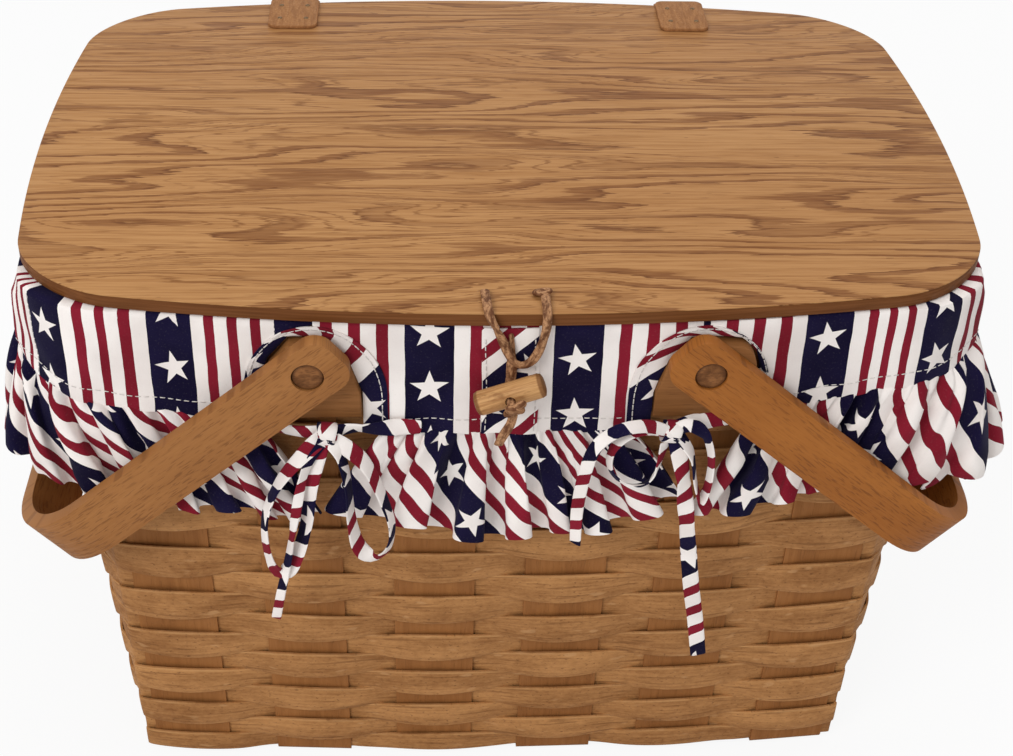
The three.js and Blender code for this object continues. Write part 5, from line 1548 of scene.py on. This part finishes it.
def toggle_finish():
    """Plain pale wood, handled dark at both chamfered ends."""
    wood = Finish("toggle_wood", Specular_IOR_Level=0.22)
    at = wood.place()
    x, y, z = at.split()
    along = x * math.cos(TOGGLE_TILT) + (z - TOGGLE_Z * MM) * math.sin(TOGGLE_TILT)
    up = z * math.cos(TOGGLE_TILT) - x * math.sin(TOGGLE_TILT)
    grain = wood.node("CombineXYZ", None, {0: along, 1: y, 2: up})
    fibres = grain.noise((45, 700, 700), 3, 0.6)
    stains = grain.noise((120, 260, 260), 3, 0.6, (1, 2, 3))
    tone = wood.mix(fibres.smooth(0.32, 0.68), (204, 156, 102), (168, 118, 70))
    tone = wood.mix(stains.smooth(0.52, 0.7, 0.0, 0.6), tone, (126, 80, 42))
    tone = wood.mix(abs(along).smooth(0.0146, 0.0156, 0.0, 0.8), tone, (112, 68, 32))
    return wood.wear(tone, stains.smooth(0.3, 0.7, 0.48, 0.62), (fibres + stains).bump(0.4, 0.0004))


wood_of_toggle = toggle_finish()
deselect()
toggle_middle = (0, TOGGLE_Y * MM, TOGGLE_Z * MM)
bpy.ops.mesh.primitive_cylinder_add(vertices=40, radius=TOGGLE_RADIUS * MM, depth=TOGGLE_LENGTH * MM,
                                    rotation=(0, math.pi / 2 - TOGGLE_TILT, 0), location=toggle_middle)
toggle = bpy.context.object
toggle.name = toggle.data.name = "turned_toggle"
bpy.ops.object.transform_apply(location=True, rotation=True, scale=True)
bevel(toggle, 2.1)
drill(toggle, 2.6, 30, toggle_middle, 24)
smooth(toggle, 35)
dress(toggle, wood_of_toggle, "toggle_body", "toggle_wood", "toggle")


def laced(name, route, width, thick, flat_side, body, node, steps, twist, narrow=(1, 1)):
    piece, line, length = sweep(name, route, width, thick, flat_side, steps, 0.7, twist=twist,
                                square=0.85, narrow=narrow)
    dress(piece, lace, body, "leather", node)
    tuple(line[0] * MM)
    round(length * MM, 4)
    [tuple(p * MM) for p in line[::6]] + [tuple(line[-1] * MM)]
    print(name, round(length), "mm long")


def knot(name, at, size, body, lean, fat=3.6):
    """A hitch of lace: one fat turn round the strand, and a second one laid over it at a slant."""
    x, y, z = at
    w, d, h = size
    turns = []
    for number, (slant, grow) in enumerate(((lean, 1.0), (-0.8 * lean, 0.8))):
        t = np.linspace(0, 2 * math.pi * 1.12, 22) + number * 1.1
        ring = np.column_stack([x + w * 0.5 * grow * np.cos(t), y - d * 0.62 * np.sin(t) - number * 0.7,
                                z + h * 0.3 * np.sin(t + 0.7) + slant * w * 0.5 * np.cos(t)])
        turns.append(sweep("turn", ring, fat, fat * 0.8, (0, -0.3, 1), 50, 1.2, around=10, square=0.9)[0])
    piece = joined(name, turns)
    smooth(piece, 50)
    return dress(piece, lace, body, "leather")


FORWARD, SLOPING, UPWARD = [(0, -1, 0)], [(0, -0.7, 0.7)], [(0, 0, 1)]  # ways that a lace's face looks
thong_route = [
    (0.2, -171.8, 328), (0.6, -173.1, 320), (0.8, -174.0, 310), (0.6, -174.9, 303.6), (0.2, -177, 299.7),
    (0, -182, 299), (0.4, -188.4, 299), (1.2, -192.4, 297.2), (0.2, -193, 290.5), (-2.8, -192.2, 283),
    (-5.6, -191, 275)]
thong_knot = knot("thong_knot", (1.9, TOGGLE_Y - 10.8, TOGGLE_Z - 0.4), (6.8, 2.6, 6.6), "thong_body",
                  0.5, 4.4)
laced("rawhide_thong", thong_route, 5.0, 1.8, FORWARD * 3 + SLOPING + UPWARD * 3 + SLOPING + FORWARD * 3,
      "thong_body", "toggle_thong", 120, (0, 24, -16, 10, 0, 0, 10, -14),
      (0.45, 0.7, 1.05, 1.05, 0.9, 0.9, 0.9, 1.0, 0.95))

loop_route = [
    (-12.2, -155, 341.4), (-11.8, -163, 341.9), (-11.2, -170.6, 341.9), (-10.0, -174.2, 338.8),
    (-7.2, -175.0, 333), (-4.2, -175.2, 326.5), (-1.4, -175.4, 319.4), (1.4, -175.6, 314.2),
    (6.0, -175.6, 312.0), (10.4, -175.4, 314.6), (13.4, -175.2, 320), (15.6, -175.0, 327.5),
    (16.8, -174.6, 335), (16.8, -172.6, 340.6), (16.6, -166, 342), (16.5, -158, 341.8)]
loop_knot = knot("loop_knot", (15.2, -157.6, 342.2), (7.6, 3.0, 1.2), "lid_loop_body", 0.1, 2.3)
laced("rawhide_loop", loop_route, 4.6, 2.2, UPWARD * 2 + SLOPING + FORWARD * 10 + SLOPING + UPWARD * 2,
      "lid_loop_body", "lid_loop", 160, (0, 0, 8, 50, -20, 30, 10, -30, 24, -10, 0, 0))
